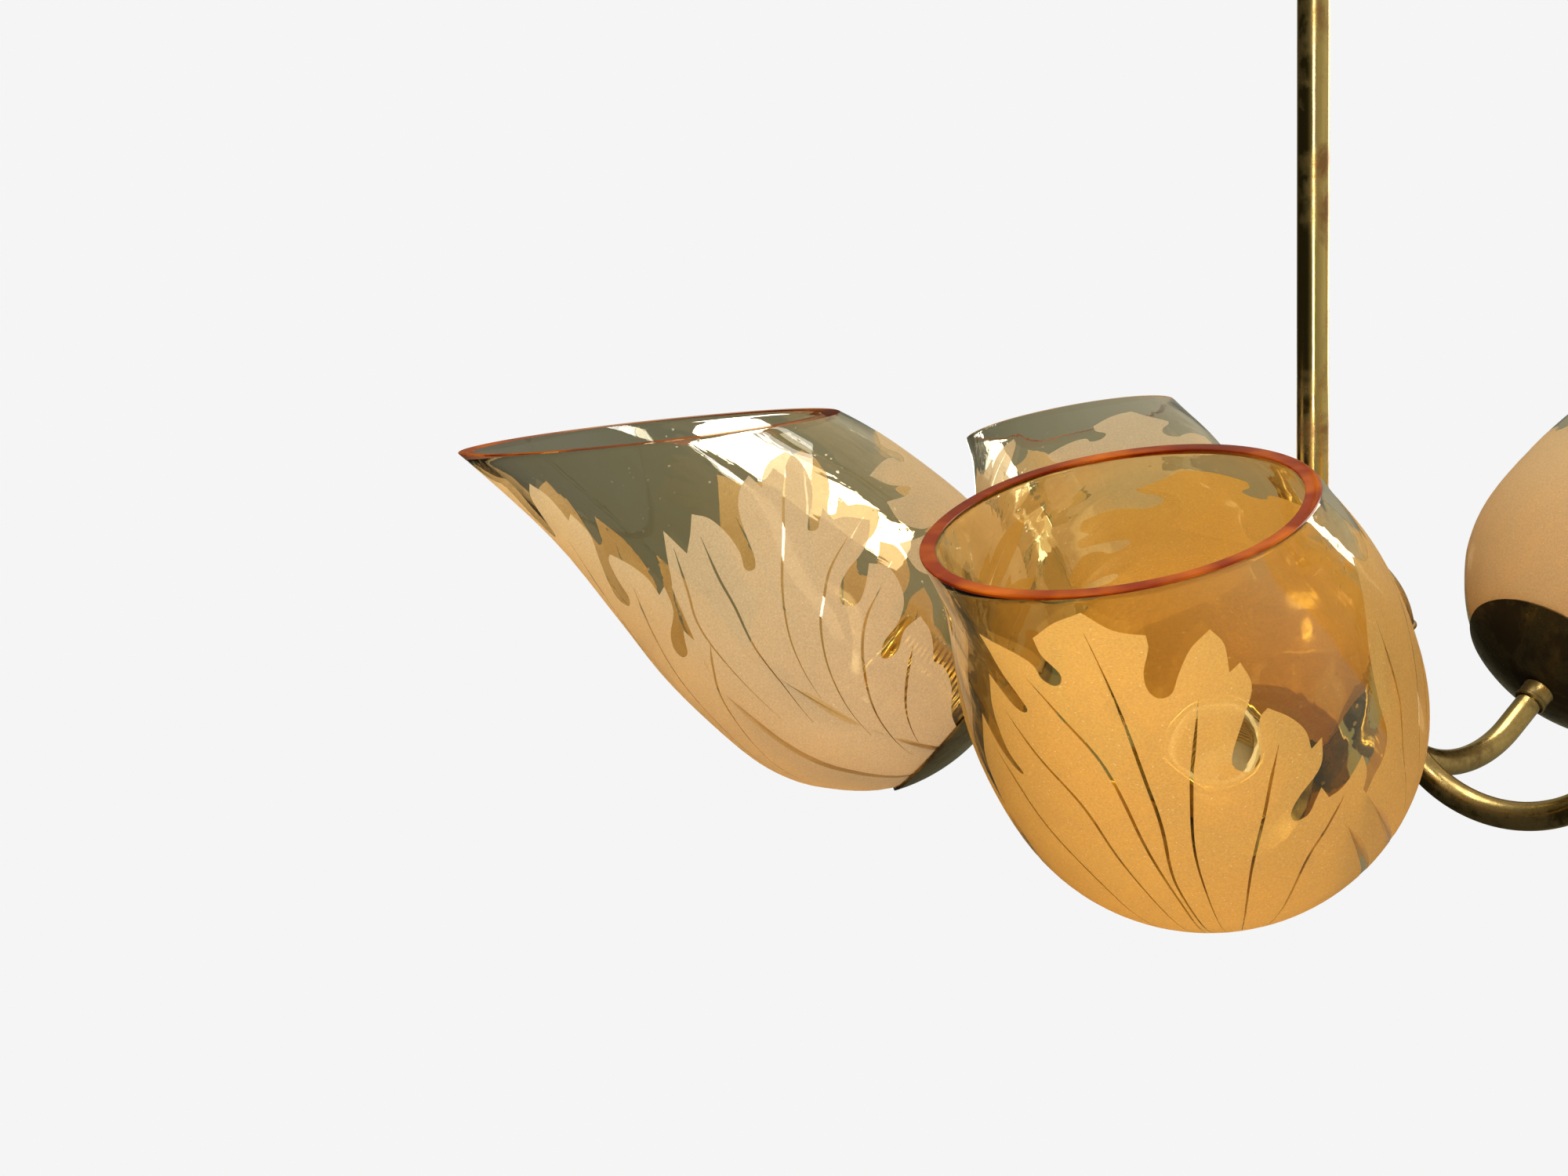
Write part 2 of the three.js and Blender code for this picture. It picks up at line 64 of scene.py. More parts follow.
CUP_LEVEL = -820.0          # height of the cup rims' centres
CUP_REACH = 155.0           # their distance from the stem's axis
STEM_RADIUS = 6.75
STEM_BORE = 5.25
STEM_HOLE = 7.05

ARM_RADIUS = 6.0
ARM_BORE = 4.6
ARM_BEND_RADIUS = 55.0
ARM_HUB_REACH = 29.2
ARM_HUB_SLOPE = 75.0
ARM_THREAD = 16.0
ARM_END_DEPTH = 7.0

PLATE_LOW = 33.5            # hub heights are above CUP_LEVEL
PLATE_HIGH = 37.5
PLATE_RADIUS = 41.0
DOME_RADIUS = 43.0
DOME_CENTRE = 33.0
DOME_EDGE = 36.5

CUP_RIM_RADIUS = 46.0
CUP_DEPTH = 14.0
CUP_WALL = 1.2
CUP_SPHERE = (CUP_RIM_RADIUS ** 2 + CUP_DEPTH ** 2) / (2 * CUP_DEPTH)

PIN_HEIGHT = -26.0          # heights in the head, the hanger and the canopy are from the ceiling hook
LOOP_RADIUS = 16.0
LOOP_CENTRE = -13.0
SCREW_HEIGHT = -86.3        # the canopy's set screw
WIRING_SIDE = 72.0          # bearing of the connector in the hub and of the slot that feeds it, degrees

HOLDER_RADIUS = 19.5
HOLDER_TOP = 45.0
THREAD_PITCH = 2.3

# Outer outline of the blown glass, [radius, height above the cup's rim], before the mouth is cut.
GLASS_OUTLINE = [
    (23, -9), (34, -4.8), (45, 1.3), (54.3, 10), (63, 22), (70.5, 36), (75.1, 55), (75.3, 81),
    (72.6, 112), (65.6, 145), (57.6, 185), (55, 222), (54.6, 262),
]
GLASS_WALL = 4.5
MOUTH_HEIGHT = 196.0        # where the mouth's plane crosses the lamp's axis
MOUTH_SLOPE = math.tan(math.radians(44.6))
GLASS_TURNS = {1: 0, 2: -6, 3: -4, 4: 2, 5: 0}

# Per shade, how deep an amber its glass, rim and leaves are painted, from pale to deep: the differences
# stand in for how differently each shade is lit, so they are painted light and shade.
PAINTED_TONES = {1: 0.3, 2: 0.1, 3: 0.25, 4: 1.0, 5: 0.6}
# Etched leaves of each shade: turn round the glass (degrees), spread of the front leaf, and the shape of
# the side leaves' near edge on the right and on the left.
LEAVES = {
    1: (-4, 1.0, "lobed", "plain"),
    2: (6, 1.05, "plain", "lobed"),
    3: (17, 1.1, "lobed", "plain"),
    4: (6, 1.0, "plain", "lobed"),
    5: (0, 1.0, "plain", "plain"),
}
ETCH_PROUD = 0.12           # the etched skin stands this far off the glass


class Lamp:
    """One lamp's own frame: z along its axis from the cup's rim, x towards the long side of the mouth."""

    def __init__(self, number, joint):
        self.number = number
        self.centre = Vector(joint["pos_m"])
        self.axis = Vector(joint["axis"]).normalized()
        outward = Vector((self.centre.x, self.centre.y, 0)).normalized()
        self.bearing = math.atan2(outward.y, outward.x)
        self.lean = math.degrees(self.axis.angle(UP))
        side = UP.cross(outward)
        long_side = side.cross(self.axis)
        turn = Matrix((long_side, side, self.axis)).transposed().to_4x4()
        self.matrix = Matrix.Translation(self.centre) @ turn


LAMPS = [Lamp(int(j["name"][-1]), j) for j in frame["joints"] if j["name"].startswith("shade_turn")]

# ---- camera

CAMERA_BACK = 912.5         # mm from the stem's axis
CAMERA_RISE = 176.4         # mm above the cups
CAMERA_BEARING = -7.6       # degrees round the stem from looking along +Y
CAMERA_YAW = -7.05          # degrees it turns to the right of +Y
CAMERA_PITCH = -7.455
CAMERA_ROLL = -1.829
CAMERA_LENS = 46.83


def new_object(name, data):
    """Adds a camera, a mesh or a light to the scene."""
    made = bpy.data.objects.new(name, data)
    bpy.context.scene.collection.objects.link(made)
    return made


def make_camera():
    data = bpy.data.cameras.new("camera")
    data.lens = CAMERA_LENS
    data.sensor_width = 36
    data.clip_end = 60
    camera = new_object("camera", data)
    yaw, pitch, roll = (math.radians(a) for a in (CAMERA_YAW, CAMERA_PITCH, CAMERA_ROLL))
    forward = Vector((math.sin(yaw) * math.cos(pitch), math.cos(yaw) * math.cos(pitch), math.sin(pitch)))
    level = Vector((math.cos(yaw), -math.sin(yaw), 0))
    upright = level.cross(forward)
    right = math.cos(roll) * level + math.sin(roll) * upright
    top = math.cos(roll) * upright - math.sin(roll) * level
    turn = Matrix((right, top, -forward)).transposed().to_4x4()
    bearing = math.radians(CAMERA_BEARING)
    away = Vector((math.sin(bearing), -math.cos(bearing), 0)) * CAMERA_BACK
    spot = away + UP * (CUP_LEVEL + CAMERA_RISE)
    camera.matrix_world = Matrix.Translation(spot * MM) @ turn
    bpy.context.scene.camera = camera


make_camera()

# ---- curves and outlines


def smooth(points, steps):
    """Catmull-Rom curve through the points, with that many steps between two of them."""
    vectors = [Vector(p) for p in points]
    ends = [2 * vectors[0] - vectors[1]] + vectors + [2 * vectors[-1] - vectors[-2]]
    line = []
    for i in range(1, len(ends) - 2):
        a, b, c, d = ends[i - 1:i + 3]
        for k in range(steps):
            t = k / steps
            line.append(0.5 * (2 * b + (c - a) * t + (2 * a - 5 * b + 4 * c - d) * t * t
                               + (3 * b - a - 3 * c + d) * t ** 3))
    line.append(vectors[-1])
    return line


def arc(centre, radius, start, end, steps):
    """Points [r, z] on a circle in a profile, angles in degrees."""
    points = []
    for k in range(steps + 1):
        angle = math.radians(start + (end - start) * k / steps)
        points.append((centre[0] + radius * math.cos(angle), centre[1] + radius * math.sin(angle)))
    return points


def rounded(start, corner, end, shares):
    """Points on the curve from start to end that a corner pulls outwards."""
    return [start.lerp(corner, t).lerp(corner.lerp(end, t), t) for t in shares]


def beside(line, i):
    """The points before and after point i of a line; at an end of the line, that end itself."""
    return line[max(i - 1, 0)], line[min(i + 1, len(line) - 1)]


def shell(outline, wall):
    """Closed outline of a wall of even thickness behind an outer outline that runs upwards."""
    inside = []
    for i, (r, z) in enumerate(outline):
        before, after = beside(outline, i)
        run = math.hypot(after[0] - before[0], after[1] - before[1])
        inside.append((r - wall * (after[1] - before[1]) / run, z + wall * (after[0] - before[0]) / run))
    return list(outline) + inside[::-1]


class Profile:
    """Radius of the glass's outside at a height, from the smooth outline."""

    def __init__(self, outline):
        self.line = smooth(outline, 12)

    def at(self, height):
        below = self.line[0]
        for above in self.line[1:]:
            if above[1] >= height:
                share = (height - below[1]) / (above[1] - below[1])
                return below[0] + (above[0] - below[0]) * share
            below = above
        return below[0]

    def slope(self, height):
        return self.at(height + 0.5) - self.at(height - 0.5)


GLASS = Profile(GLASS_OUTLINE)


def mouth_height(bearing, inset=0.0):
    """Height of the mouth at a bearing in radians, on a wall that far inside the outer one."""
    height = MOUTH_HEIGHT
    for _ in range(14):
        height = MOUTH_HEIGHT + MOUTH_SLOPE * (GLASS.at(height) - inset) * math.cos(bearing)
    return height


# ---- mesh helpers


def sharpen(mesh, degrees):
    """Marks the edges where the surface turns by more than an angle as sharp."""
    mesh.set_sharp_from_angle(angle=math.radians(degrees))


def mesh_from(name, points, faces):
    mesh = bpy.data.meshes.new(name)
    mesh.from_pydata([tuple(Vector(p) * MM) for p in points], [], faces)
    mesh.validate()
    mesh.shade_smooth()
    mesh.update()
    return mesh


def grid_faces(rows, columns, wrap_rows=False):
    """Quads between rows of points that each run once round; rows optionally close on the first."""
    faces = []
    last = rows if wrap_rows else rows - 1
    for i in range(last):
        low = i * columns
        high = ((i + 1) % rows) * columns
        for j in range(columns):
            k = (j + 1) % columns
            faces.append((low + j, low + k, high + k, high + j))
    return faces


def skin_over(name, rows, closed=True):
    """Skin over rows of [r, z] points, each row evenly spaced once round z."""
    points = []
    for row in rows:
        for j, (r, z) in enumerate(row):
            angle = 2 * math.pi * j / len(row)
            points.append((r * math.cos(angle), r * math.sin(angle), z))
    return mesh_from(name, points, grid_faces(len(rows), len(rows[0]), wrap_rows=closed))


def turned(name, profile, sides=64, closed=True):
    """Turns [r, z] points about z. A closed profile is a ring; an open one starts and ends on the axis."""
    mesh = skin_over(name, [[point] * sides for point in profile], closed)
    weld(mesh)
    sharpen(mesh, 38)
    return mesh


def weld(mesh):
    """Joins the points that lie on each other, such as those of a profile's end on the axis."""
    work = bmesh.new()
    work.from_mesh(mesh)
    bmesh.ops.remove_doubles(work, verts=work.verts, dist=1e-6)
    bmesh.ops.dissolve_degenerate(work, edges=work.edges, dist=1e-7)
    work.to_mesh(mesh)
    work.free()


def swept(name, line, radius, bore=0.0, sides=40):
    """Tube along a line of points; solid, with flat ends, when bore is 0."""
    frames = []
    normal = None
    for i, point in enumerate(line):
        before, after = beside(line, i)
        tangent = (after - before).normalized()
        if normal is None:
            normal = tangent.orthogonal().normalized()
        normal = (normal - tangent * normal.dot(tangent)).normalized()
        frames.append((point, normal, tangent.cross(normal)))
    rings = [(frame_at, radius) for frame_at in frames]
    if bore > 0:
        rings += [(frame_at, bore) for frame_at in reversed(frames)]
    points = []
    for (point, across, over), size in rings:
        for j in range(sides):
            angle = 2 * math.pi * j / sides
            points.append(point + size * (math.cos(angle) * across + math.sin(angle) * over))
    faces = grid_faces(len(rings), sides, wrap_rows=bore > 0)
    if bore == 0:
        faces.append(tuple(reversed(range(sides))))
        faces.append(tuple(range(len(points) - sides, len(points))))
    mesh = mesh_from(name, points, faces)
    sharpen(mesh, 50)
    return mesh


def block(name, low, high, bevel):
    """Box with rounded edges."""
    work = bmesh.new()
    bmesh.ops.create_cube(work, size=1.0)
    size = Vector(high) - Vector(low)
    middle = (Vector(high) + Vector(low)) / 2
    for vert in work.verts:
        vert.co = Vector([vert.co[k] * size[k] + middle[k] for k in range(3)])
    bmesh.ops.bevel(work, geom=work.edges[:], offset=bevel, segments=3, profile=0.6, affect="EDGES")
    bmesh.ops.scale(work, vec=(MM, MM, MM), verts=work.verts)
    mesh = bpy.data.meshes.new(name)
    work.to_mesh(mesh)
    work.free()
    mesh.shade_smooth()
    sharpen(mesh, 50)
    return mesh


def laid(axis, x, y, z, degrees=90):
    """Matrix that turns a piece about an axis and then moves it, in mm."""
    return Matrix.Translation(Vector((x, y, z)) * MM) @ Matrix.Rotation(math.radians(degrees), 4, axis)


def place(name, mesh, material, body, replaced=(), matrix=None):
    """Puts a piece in the scene, riding on a body, with its finish, standing for CAD nodes."""
    piece = new_object(name, mesh)
    if not mesh.materials:
        mesh.materials.append(material)
    if matrix is not None:
        piece.matrix_world = matrix
    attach(piece, body)
    if replaced:
        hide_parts(*replaced)
    return piece


def cut_away(piece, cutters):
    """Cuts other meshes out of a piece, for good."""
    for mesh in cutters:
        tool = new_object("cutter", mesh)
        step = piece.modifiers.new("cut", "BOOLEAN")
        step.operation = "DIFFERENCE"
        step.solver = "EXACT"
        step.object = tool
        bpy.context.view_layer.update()
        done = piece.evaluated_get(bpy.context.evaluated_depsgraph_get())
        made = bpy.data.meshes.new_from_object(done)
        piece.modifiers.clear()
        old = piece.data
        piece.data = made
        bpy.data.objects.remove(tool)
        bpy.data.meshes.remove(old)
    sharpen(piece.data, 38)


# ---- materials


class Nodes:
    """The node tree of a material or a world, with short calls to add and join nodes."""

    def __init__(self, owner, kind="Material"):
        self.owner = owner
        owner.use_nodes = True
        self.tree = owner.node_tree
        self.tree.nodes.clear()
        self.out = self.tree.nodes.new("ShaderNodeOutput" + kind)

    def add(self, kind, inputs=None, **settings):
        node = self.tree.nodes.new("ShaderNode" + kind)
        for key, value in settings.items():
            setattr(node, key, value)
        for key, value in (inputs or {}).items():
            self.feed(node.inputs[key], value)
        return node

    def feed(self, socket, value):
        if isinstance(value, bpy.types.NodeSocket):
            self.tree.links.new(value, socket)
        elif isinstance(value, tuple) and len(value) == 3 and socket.type == "RGBA":
            socket.default_value = (*value, 1.0)
        else:
            socket.default_value = value

    def noise(self, where, scale, detail=5.0, rough=0.55, distortion=0.0):
        made = self.add("TexNoise", {"Vector": where, "Scale": scale, "Detail": detail,
                                     "Roughness": rough, "Distortion": distortion})
        return made.outputs["Fac"]

    def ramp(self, value, low, high, to_low=0.0, to_high=1.0):
        made = self.add("MapRange", {"Value": value, "From Min": low, "From Max": high,
                                     "To Min": to_low, "To Max": to_high})
        return made.outputs["Result"]

    def blend(self, share, first, second):
        """Colour mix; index 6 and 7 are the mix node's colour inputs and 2 its colour result."""
        made = self.add("Mix", {0: share, 6: first, 7: second}, data_type="RGBA")
        return made.outputs[2]

    def tones(self, share, *stops):
        """Colour ramp through stops, each a place on the ramp and a colour."""
        made = self.add("ValToRGB", {"Fac": share})
        elements = made.color_ramp.elements
        while len(elements) < len(stops):
            elements.new(0.5)
        for element, (position, colour) in zip(elements, stops):
            element.position = position
            element.color = (*colour, 1)
        return made.outputs["Color"]

    def part(self, where, axis):
        return self.add("SeparateXYZ", {"Vector": where}).outputs[axis]

    def principled(self, colour, roughness, normal, others=None):
        inputs = {"Base Color": colour, "Roughness": roughness, "Normal": normal, **(others or {})}
        return self.add("BsdfPrincipled", inputs).outputs[0]

    def see_through(self, colour):
        return self.add("BsdfTransparent", {"Color": colour}).outputs[0]

    def mix(self, share, first, second):
        """Shader a share of the way from one to another."""
        return self.add("MixShader", {0: share, 1: first, 2: second}).outputs[0]

    def maths(self, operation, first, second):
        return self.add("Math", {0: first, 1: second}, operation=operation).outputs[0]

    def bump(self, height, strength, distance):
        made = self.add("Bump", {"Height": height, "Strength": strength, "Distance": distance})
        return made.outputs["Normal"]

    def place_coords(self, scale=(1, 1, 1)):
        coords = self.add("TexCoord").outputs["Object"]
        return self.add("Mapping", {"Vector": coords, "Scale": scale}).outputs["Vector"]

    def finish(self, shader, volume=None):
        self.tree.links.new(shader, self.out.inputs["Surface"])
        if volume is not None:
            self.tree.links.new(volume, self.out.inputs["Volume"])
        return self.owner


def material_nodes(name):
    return Nodes(bpy.data.materials.new(name))


def brass(name, bright, dark, patina, roughness, grain=(1, 1, 1)):
    """Old brass: bright metal under a mottled dark patina, with fine rub marks and pits."""
    n = material_nodes(name)
    where = n.place_coords()
    stretched = n.place_coords(grain)
    cloud = n.noise(where, 21, detail=7, rough=0.62, distortion=0.6)
    mottle = n.noise(where, 95, detail=5, rough=0.6)
    rub = n.noise(stretched, 420, detail=4, rough=0.6)
    pits = n.noise(where, 1500, detail=2)
    stain = n.maths("ADD", cloud, n.maths("MULTIPLY", mottle, 0.35))
    cover = n.ramp(stain, 0.78 - patina * 0.34, 0.92 - patina * 0.24)
    tint = n.blend(n.ramp(rub, 0.35, 0.7), bright, tuple(c * 0.78 for c in bright))
    colour = n.blend(cover, tint, dark)
    patina_rough = n.ramp(cover, 0, 1, roughness, roughness + 0.18)
    rough = n.maths("ADD", patina_rough, n.ramp(rub, 0.3, 0.7, -0.05, 0.07))
    relief = n.maths("ADD", n.maths("MULTIPLY", rub, 0.6), n.maths("MULTIPLY", pits, 0.4))
    metallic = n.ramp(cover, 0, 1, 1.0, 0.82)
    return n.finish(n.principled(colour, rough, n.bump(relief, 0.13, 0.0003), {"Metallic": metallic}))


def between(share, low, high):
    """Colour a share of the way between two."""
    return tuple(a + (b - a) * share for a, b in zip(low, high))


def amber_glass(name, painted_tone):
    """Thick blown glass, more amber towards its foot, with ripples, swirls and seeds."""
    n = material_nodes(name)
    where = n.place_coords()
    waves = n.noise(where, 15, detail=2, rough=0.4, distortion=0.8)
    swirls = n.noise(n.place_coords((1, 1, 0.3)), 42, detail=3, rough=0.5, distortion=1.4)
    seeds = n.add("TexVoronoi", {"Vector": where, "Scale": 120, "Randomness": 1.0}).outputs["Distance"]
    dots = n.ramp(seeds, 0.05, 0.10, 1.0, 0.0)
    relief = n.maths("ADD", n.maths("ADD", waves, n.maths("MULTIPLY", swirls, 0.14)),
                     n.maths("MULTIPLY", dots, 0.03))
    # The pale-to-deep amber follows the shade's painted tone: painted light and shade that differs from
    # shade to shade.
    warm = n.tones(n.ramp(n.part(where, "Z"), -0.01, 0.2),
                   (0.0, between(painted_tone, (0.97, 0.90, 0.74), (0.975, 0.86, 0.48))),
                   (0.5, between(painted_tone, (0.98, 0.955, 0.87), (0.985, 0.915, 0.58))),
                   (1.0, between(painted_tone, (0.985, 0.985, 0.955), (0.99, 0.955, 0.74))))
    tint = n.blend(n.ramp(swirls, 0.35, 0.75, 0.0, 0.3), warm, (0.95, 0.84, 0.58))
    glass = n.principled(tint, n.ramp(dots, 0, 1, 0.012, 0.25), n.bump(relief, 0.13, 0.004),
                         {"IOR": 1.5, "Transmission Weight": 1.0})
    to_lights = n.add("LightPath").outputs["Is Shadow Ray"]
    absorb = n.add("VolumeAbsorption", {"Color": (0.97, 0.70, 0.10), "Density": 16.0})
    return n.finish(n.mix(to_lights, glass, n.see_through((0.96, 0.86, 0.66))), absorb.outputs[0])


def rim_glass(name, painted_tone):
    """Ground and polished edge of the mouth, where the amber is seen end on: red to orange, and clearer
    where the shade's painted tone (painted light and shade) is pale, most of all away from the mouth's long
    tip."""
    n = material_nodes(name)
    where = n.place_coords()
    patches = n.noise(where, 22, detail=3, rough=0.5)
    streaks = n.noise(n.place_coords((1.0, 1.0, 0.6)), 70, detail=2, rough=0.4, distortion=0.5)
    grains = n.noise(where, 900, detail=2)
    share = n.maths("ADD", n.ramp(patches, 0.38, 0.66, 0.0, 0.8), n.ramp(streaks, 0.3, 0.7, -0.08, 0.14))
    colour = n.tones(share, (0.0, (0.13, 0.011, 0.003)), (0.45, (0.25, 0.030, 0.004)),
                     (1.0, (0.62, 0.15, 0.008)))
    relief = n.maths("ADD", streaks, n.maths("MULTIPLY", grains, 0.3))
    surface = n.principled(colour, n.ramp(grains, 0.3, 0.7, 0.1, 0.2), n.bump(relief, 0.12, 0.0004),
                           {"Specular IOR Level": 0.12})
    glow = n.add("BsdfTranslucent", {"Color": colour}).outputs[0]
    # The see-through share grows as the painted tone gets paler, a painted light per shade, and shrinks at
    # the mouth's long tip.
    pale = n.ramp(n.part(where, "X"), 0.02, 0.055, 0.75 * (1 - painted_tone), 0.2 * (1 - painted_tone))
    return n.finish(n.mix(pale, n.mix(0.35, surface, glow), n.see_through((0.95, 0.84, 0.62))))


def etched_glass(name, painted_tone):
    """Satin skin of the acid-etched leaves: it scatters the light that comes through the glass."""
    n = material_nodes(name)
    where = n.place_coords()
    cloud = n.noise(where, 14, detail=3, rough=0.5)
    share = n.ramp(n.maths("ADD", n.part(where, "Z"), n.maths("MULTIPLY", cloud, 0.06)), 0.02, 0.25)
    # Leaf tones run from pale to deep with the shade's painted tone: painted light and shade per shade.
    tone = n.tones(share,
                   (0.0, between(painted_tone, (0.80, 0.57, 0.33), (0.76, 0.41, 0.12))),
                   (0.45, between(painted_tone, (0.74, 0.63, 0.45), (0.70, 0.43, 0.12))),
                   (1.0, between(painted_tone, (0.64, 0.57, 0.43), (0.62, 0.42, 0.13))))
    outward = n.maths("ADD", n.part(where, "X"), n.maths("MULTIPLY", cloud, 0.03))
    deep = n.ramp(outward, 0.045, 0.085, 0.0, 0.75)
    toned = n.blend(deep, tone, between(painted_tone, (0.80, 0.50, 0.20), (0.76, 0.42, 0.10)))
    grain = n.noise(where, 1300, detail=3, rough=0.7)
    blotch = n.noise(where, 120, detail=5, rough=0.65)
    dulled = n.blend(n.ramp(blotch, 0.3, 0.75, 0.0, 0.4), toned,
                     between(painted_tone, (0.60, 0.50, 0.35), (0.60, 0.38, 0.14)))
    grained = n.blend(n.ramp(grain, 0.35, 0.65, 0.0, 0.35), dulled,
                      between(painted_tone, (0.54, 0.44, 0.30), (0.56, 0.34, 0.13)))
    # Painted highlights: pale specks mixed into the etched colour stand in for tiny glints.
    glint_cells = n.add("TexVoronoi", {"Vector": where, "Scale": 420}).outputs["Distance"]
    painted_sparkle = n.ramp(glint_cells, 0.05, 0.12, 1.0, 0.0)
    colour = n.blend(n.maths("MULTIPLY", painted_sparkle, 0.7), grained, (0.95, 0.88, 0.74))
    normal = n.bump(grain, 0.5, 0.0002)
    through = n.add("BsdfTranslucent", {"Color": colour, "Normal": normal}).outputs[0]
    matt = n.mix(0.5, through, n.principled(colour, n.ramp(grain, 0.3, 0.7, 0.5, 0.68), normal))
    return n.finish(n.mix(n.ramp(grain, 0.3, 0.7, 0.16, 0.32), matt, n.see_through((0.96, 0.86, 0.68))))


def ceramic():
    n = material_nodes("ceramic")
    where = n.place_coords()
    grime = n.noise(where, 60, detail=6, rough=0.65)
    colour = n.blend(n.ramp(grime, 0.45, 0.75), (0.80, 0.76, 0.66), (0.42, 0.34, 0.22))
    roughness = n.ramp(grime, 0.3, 0.7, 0.22, 0.5)
    return n.finish(n.principled(colour, roughness, n.bump(n.noise(where, 300), 0.1, 0.0003)))


def flex():
    """Woven cloth over the old cable."""
    n = material_nodes("flex")
    where = n.place_coords()
    weave = n.add("TexWave", {"Vector": where, "Scale": 420, "Distortion": 1.5, "Detail": 2},
                  bands_direction="DIAGONAL").outputs["Fac"]
    colour = n.blend(weave, (0.035, 0.028, 0.022), (0.12, 0.09, 0.06))
    return n.finish(n.principled(colour, n.ramp(weave, 0, 1, 0.85, 0.7), n.bump(weave, 0.4, 0.0003)))


def steel():
    n = material_nodes("steel")
    where = n.place_coords()
    rust = n.noise(where, 130, detail=6, rough=0.65)
    cover = n.ramp(rust, 0.55, 0.72)
    colour = n.blend(cover, (0.46, 0.45, 0.43), (0.20, 0.10, 0.05))
    relief = n.bump(n.noise(where, 900), 0.15, 0.0002)
    return n.finish(n.principled(colour, n.ramp(cover, 0, 1, 0.32, 0.75), relief,
                                 {"Metallic": n.ramp(cover, 0, 1, 1.0, 0.3)}))


SATIN = brass("satin_brass", (0.53, 0.38, 0.14), (0.14, 0.09, 0.03), 0.3, 0.22)
STEM_BRASS = brass("stem_brass", (0.66, 0.50, 0.18), (0.24, 0.13, 0.045), 0.45, 0.15, grain=(1, 1, 0.06))
DARK = brass("dark_brass", (0.30, 0.22, 0.085), (0.06, 0.04, 0.018), 0.7, 0.2)
HOLDER = brass("holder_brass", (0.80, 0.60, 0.20), (0.25, 0.16, 0.05), 0.2, 0.16)
CERAMIC = ceramic()
FLEX = flex()
STEEL = steel()

# ---- glass shades


def glass_mesh():
    """The blown wall: outside up from the foot, over the ground rim, down the inside, foot edge."""
    sides = 144
    rows_up = 72
    rim_rows = 9
    foot = GLASS_OUTLINE[0][1]
    rim_round = 0.9
    columns = []
    for j in range(sides):
        bearing = 2 * math.pi * j / sides
        top = mouth_height(bearing)
        column = []
        for i in range(rows_up + 1):
            share = i / rows_up
            height = foot + (top - rim_round - foot) * share
            column.append((GLASS.at(height), height))
        inner_top = mouth_height(bearing, GLASS_WALL)
        outer_corner = Vector((GLASS.at(top), top))
        inner_corner = Vector((GLASS.at(inner_top) - GLASS_WALL, inner_top))
        across = (inner_corner - outer_corner).normalized()
        start = Vector(column[-1])
        column += rounded(start, outer_corner, outer_corner + across * rim_round, (0.25, 0.5, 0.75, 1.0))
        inner = []
        for i in range(rows_up + 1):
            share = i / rows_up
            height = foot + (inner_top - rim_round - foot) * share
            slope = GLASS.slope(max(height, foot + 1))
            stretch = math.hypot(1, slope)
            inner.append((GLASS.at(height) - GLASS_WALL / stretch, height + slope * GLASS_WALL / stretch))
        inner[-1] = (GLASS.at(inner_top) - GLASS_WALL, inner_top - rim_round)
        end = Vector(inner[-1])
        column += rounded(inner_corner - across * rim_round, inner_corner, end, (0.0, 0.25, 0.5, 0.75))
        columns.append(column + inner[::-1])
    mesh = skin_over("glass_wall", list(zip(*columns)))
    for face in mesh.polygons:
        if rows_up <= face.index // sides < rows_up + rim_rows:
            face.material_index = 1
    return mesh


# Leaf edges as [bearing in degrees, height in mm], in stretches that are smooth between two corners; each
# stretch starts where the one before it ended. The front leaf's edges run from its tip down to a valley.
FRONT_RIGHT = [
    [(2, 240), (8, 228), (16, 221)],
    [(15, 214), (11, 203), (10, 194), (12, 188.5), (16, 189), (20, 197), (26, 206), (33, 209.5)],
    [(35, 199), (33, 186)],
    [(37, 187)],
    [(37, 175), (31, 165), (25, 155), (23, 148), (26, 142.5), (30, 145), (32, 154), (35, 161), (38, 162.5)],
    [(42, 153), (44, 143), (43, 134.5)],
    [(47, 135)],
    [(43, 125.5), (35, 120.5), (31, 115.5), (31, 110.5), (34.5, 109.5), (38, 114), (40.5, 117)],
    [(41, 110)],
    [(46, 109), (54, 112.5)],
    [(53, 104), (50, 98)],
]
FRONT_LEFT = [
    [(2, 240), (-7, 235), (-16, 225)],
    [(-16, 215), (-13, 206), (-14, 200), (-17, 197.5), (-20, 200.5), (-21, 208), (-27, 212.5), (-38, 213.5)],
    [(-36, 195), (-32, 184), (-30, 178), (-32, 175), (-36, 176.5), (-43, 186)],
    [(-46, 165), (-43, 146), (-38, 138.5), (-40, 137), (-46, 142), (-53, 153)],
    [(-56, 127), (-54, 111), (-52, 98)],
]
# The side leaf leans towards the short side of the mouth. Its near edge runs from the valley up to its tip,
# and its far edge over the tip and down to the foot.
SIDE_NEAR = {
    "lobed": [
        [(64, 132), (66, 134), (71, 141), (78, 150)],
        [(78, 136)],
        [(84, 140), (90, 145)],
        [(93, 138), (93, 128), (91, 119), (88, 113), (90, 110), (93, 113), (97, 122), (102, 131), (108, 136),
         (114, 137)],
    ],
    "plain": [
        [(58, 98), (63, 100), (67, 106), (70, 121), (77, 137), (86, 146), (96, 156)],
        [(100, 144), (106, 137), (114, 137)],
    ],
}
SIDE_FAR = [
    [(113, 129)],
    [(117, 132.5), (123, 134), (130, 132)],
    [(130, 125), (125, 115), (119, 109), (114, 106), (111, 103), (113, 100.5), (116, 102), (120, 104.5)],
    [(119, 98)],
    [(123, 94), (127, 86)],
    [(122, 82), (116, 80), (109, 80), (103, 78), (99.5, 73), (101, 69), (104, 68), (109, 70.5), (115, 75)],
    [(118, 68), (116, 59), (112, 53), (106, 50), (99, 49.5), (94.5, 46.5), (96, 43.5), (100, 43), (106, 46),
     (113, 44.5)],
    [(111, 36), (105, 28)],
    [(106, 22), (102, 14), (93, 6), (84, -7.5)],
]
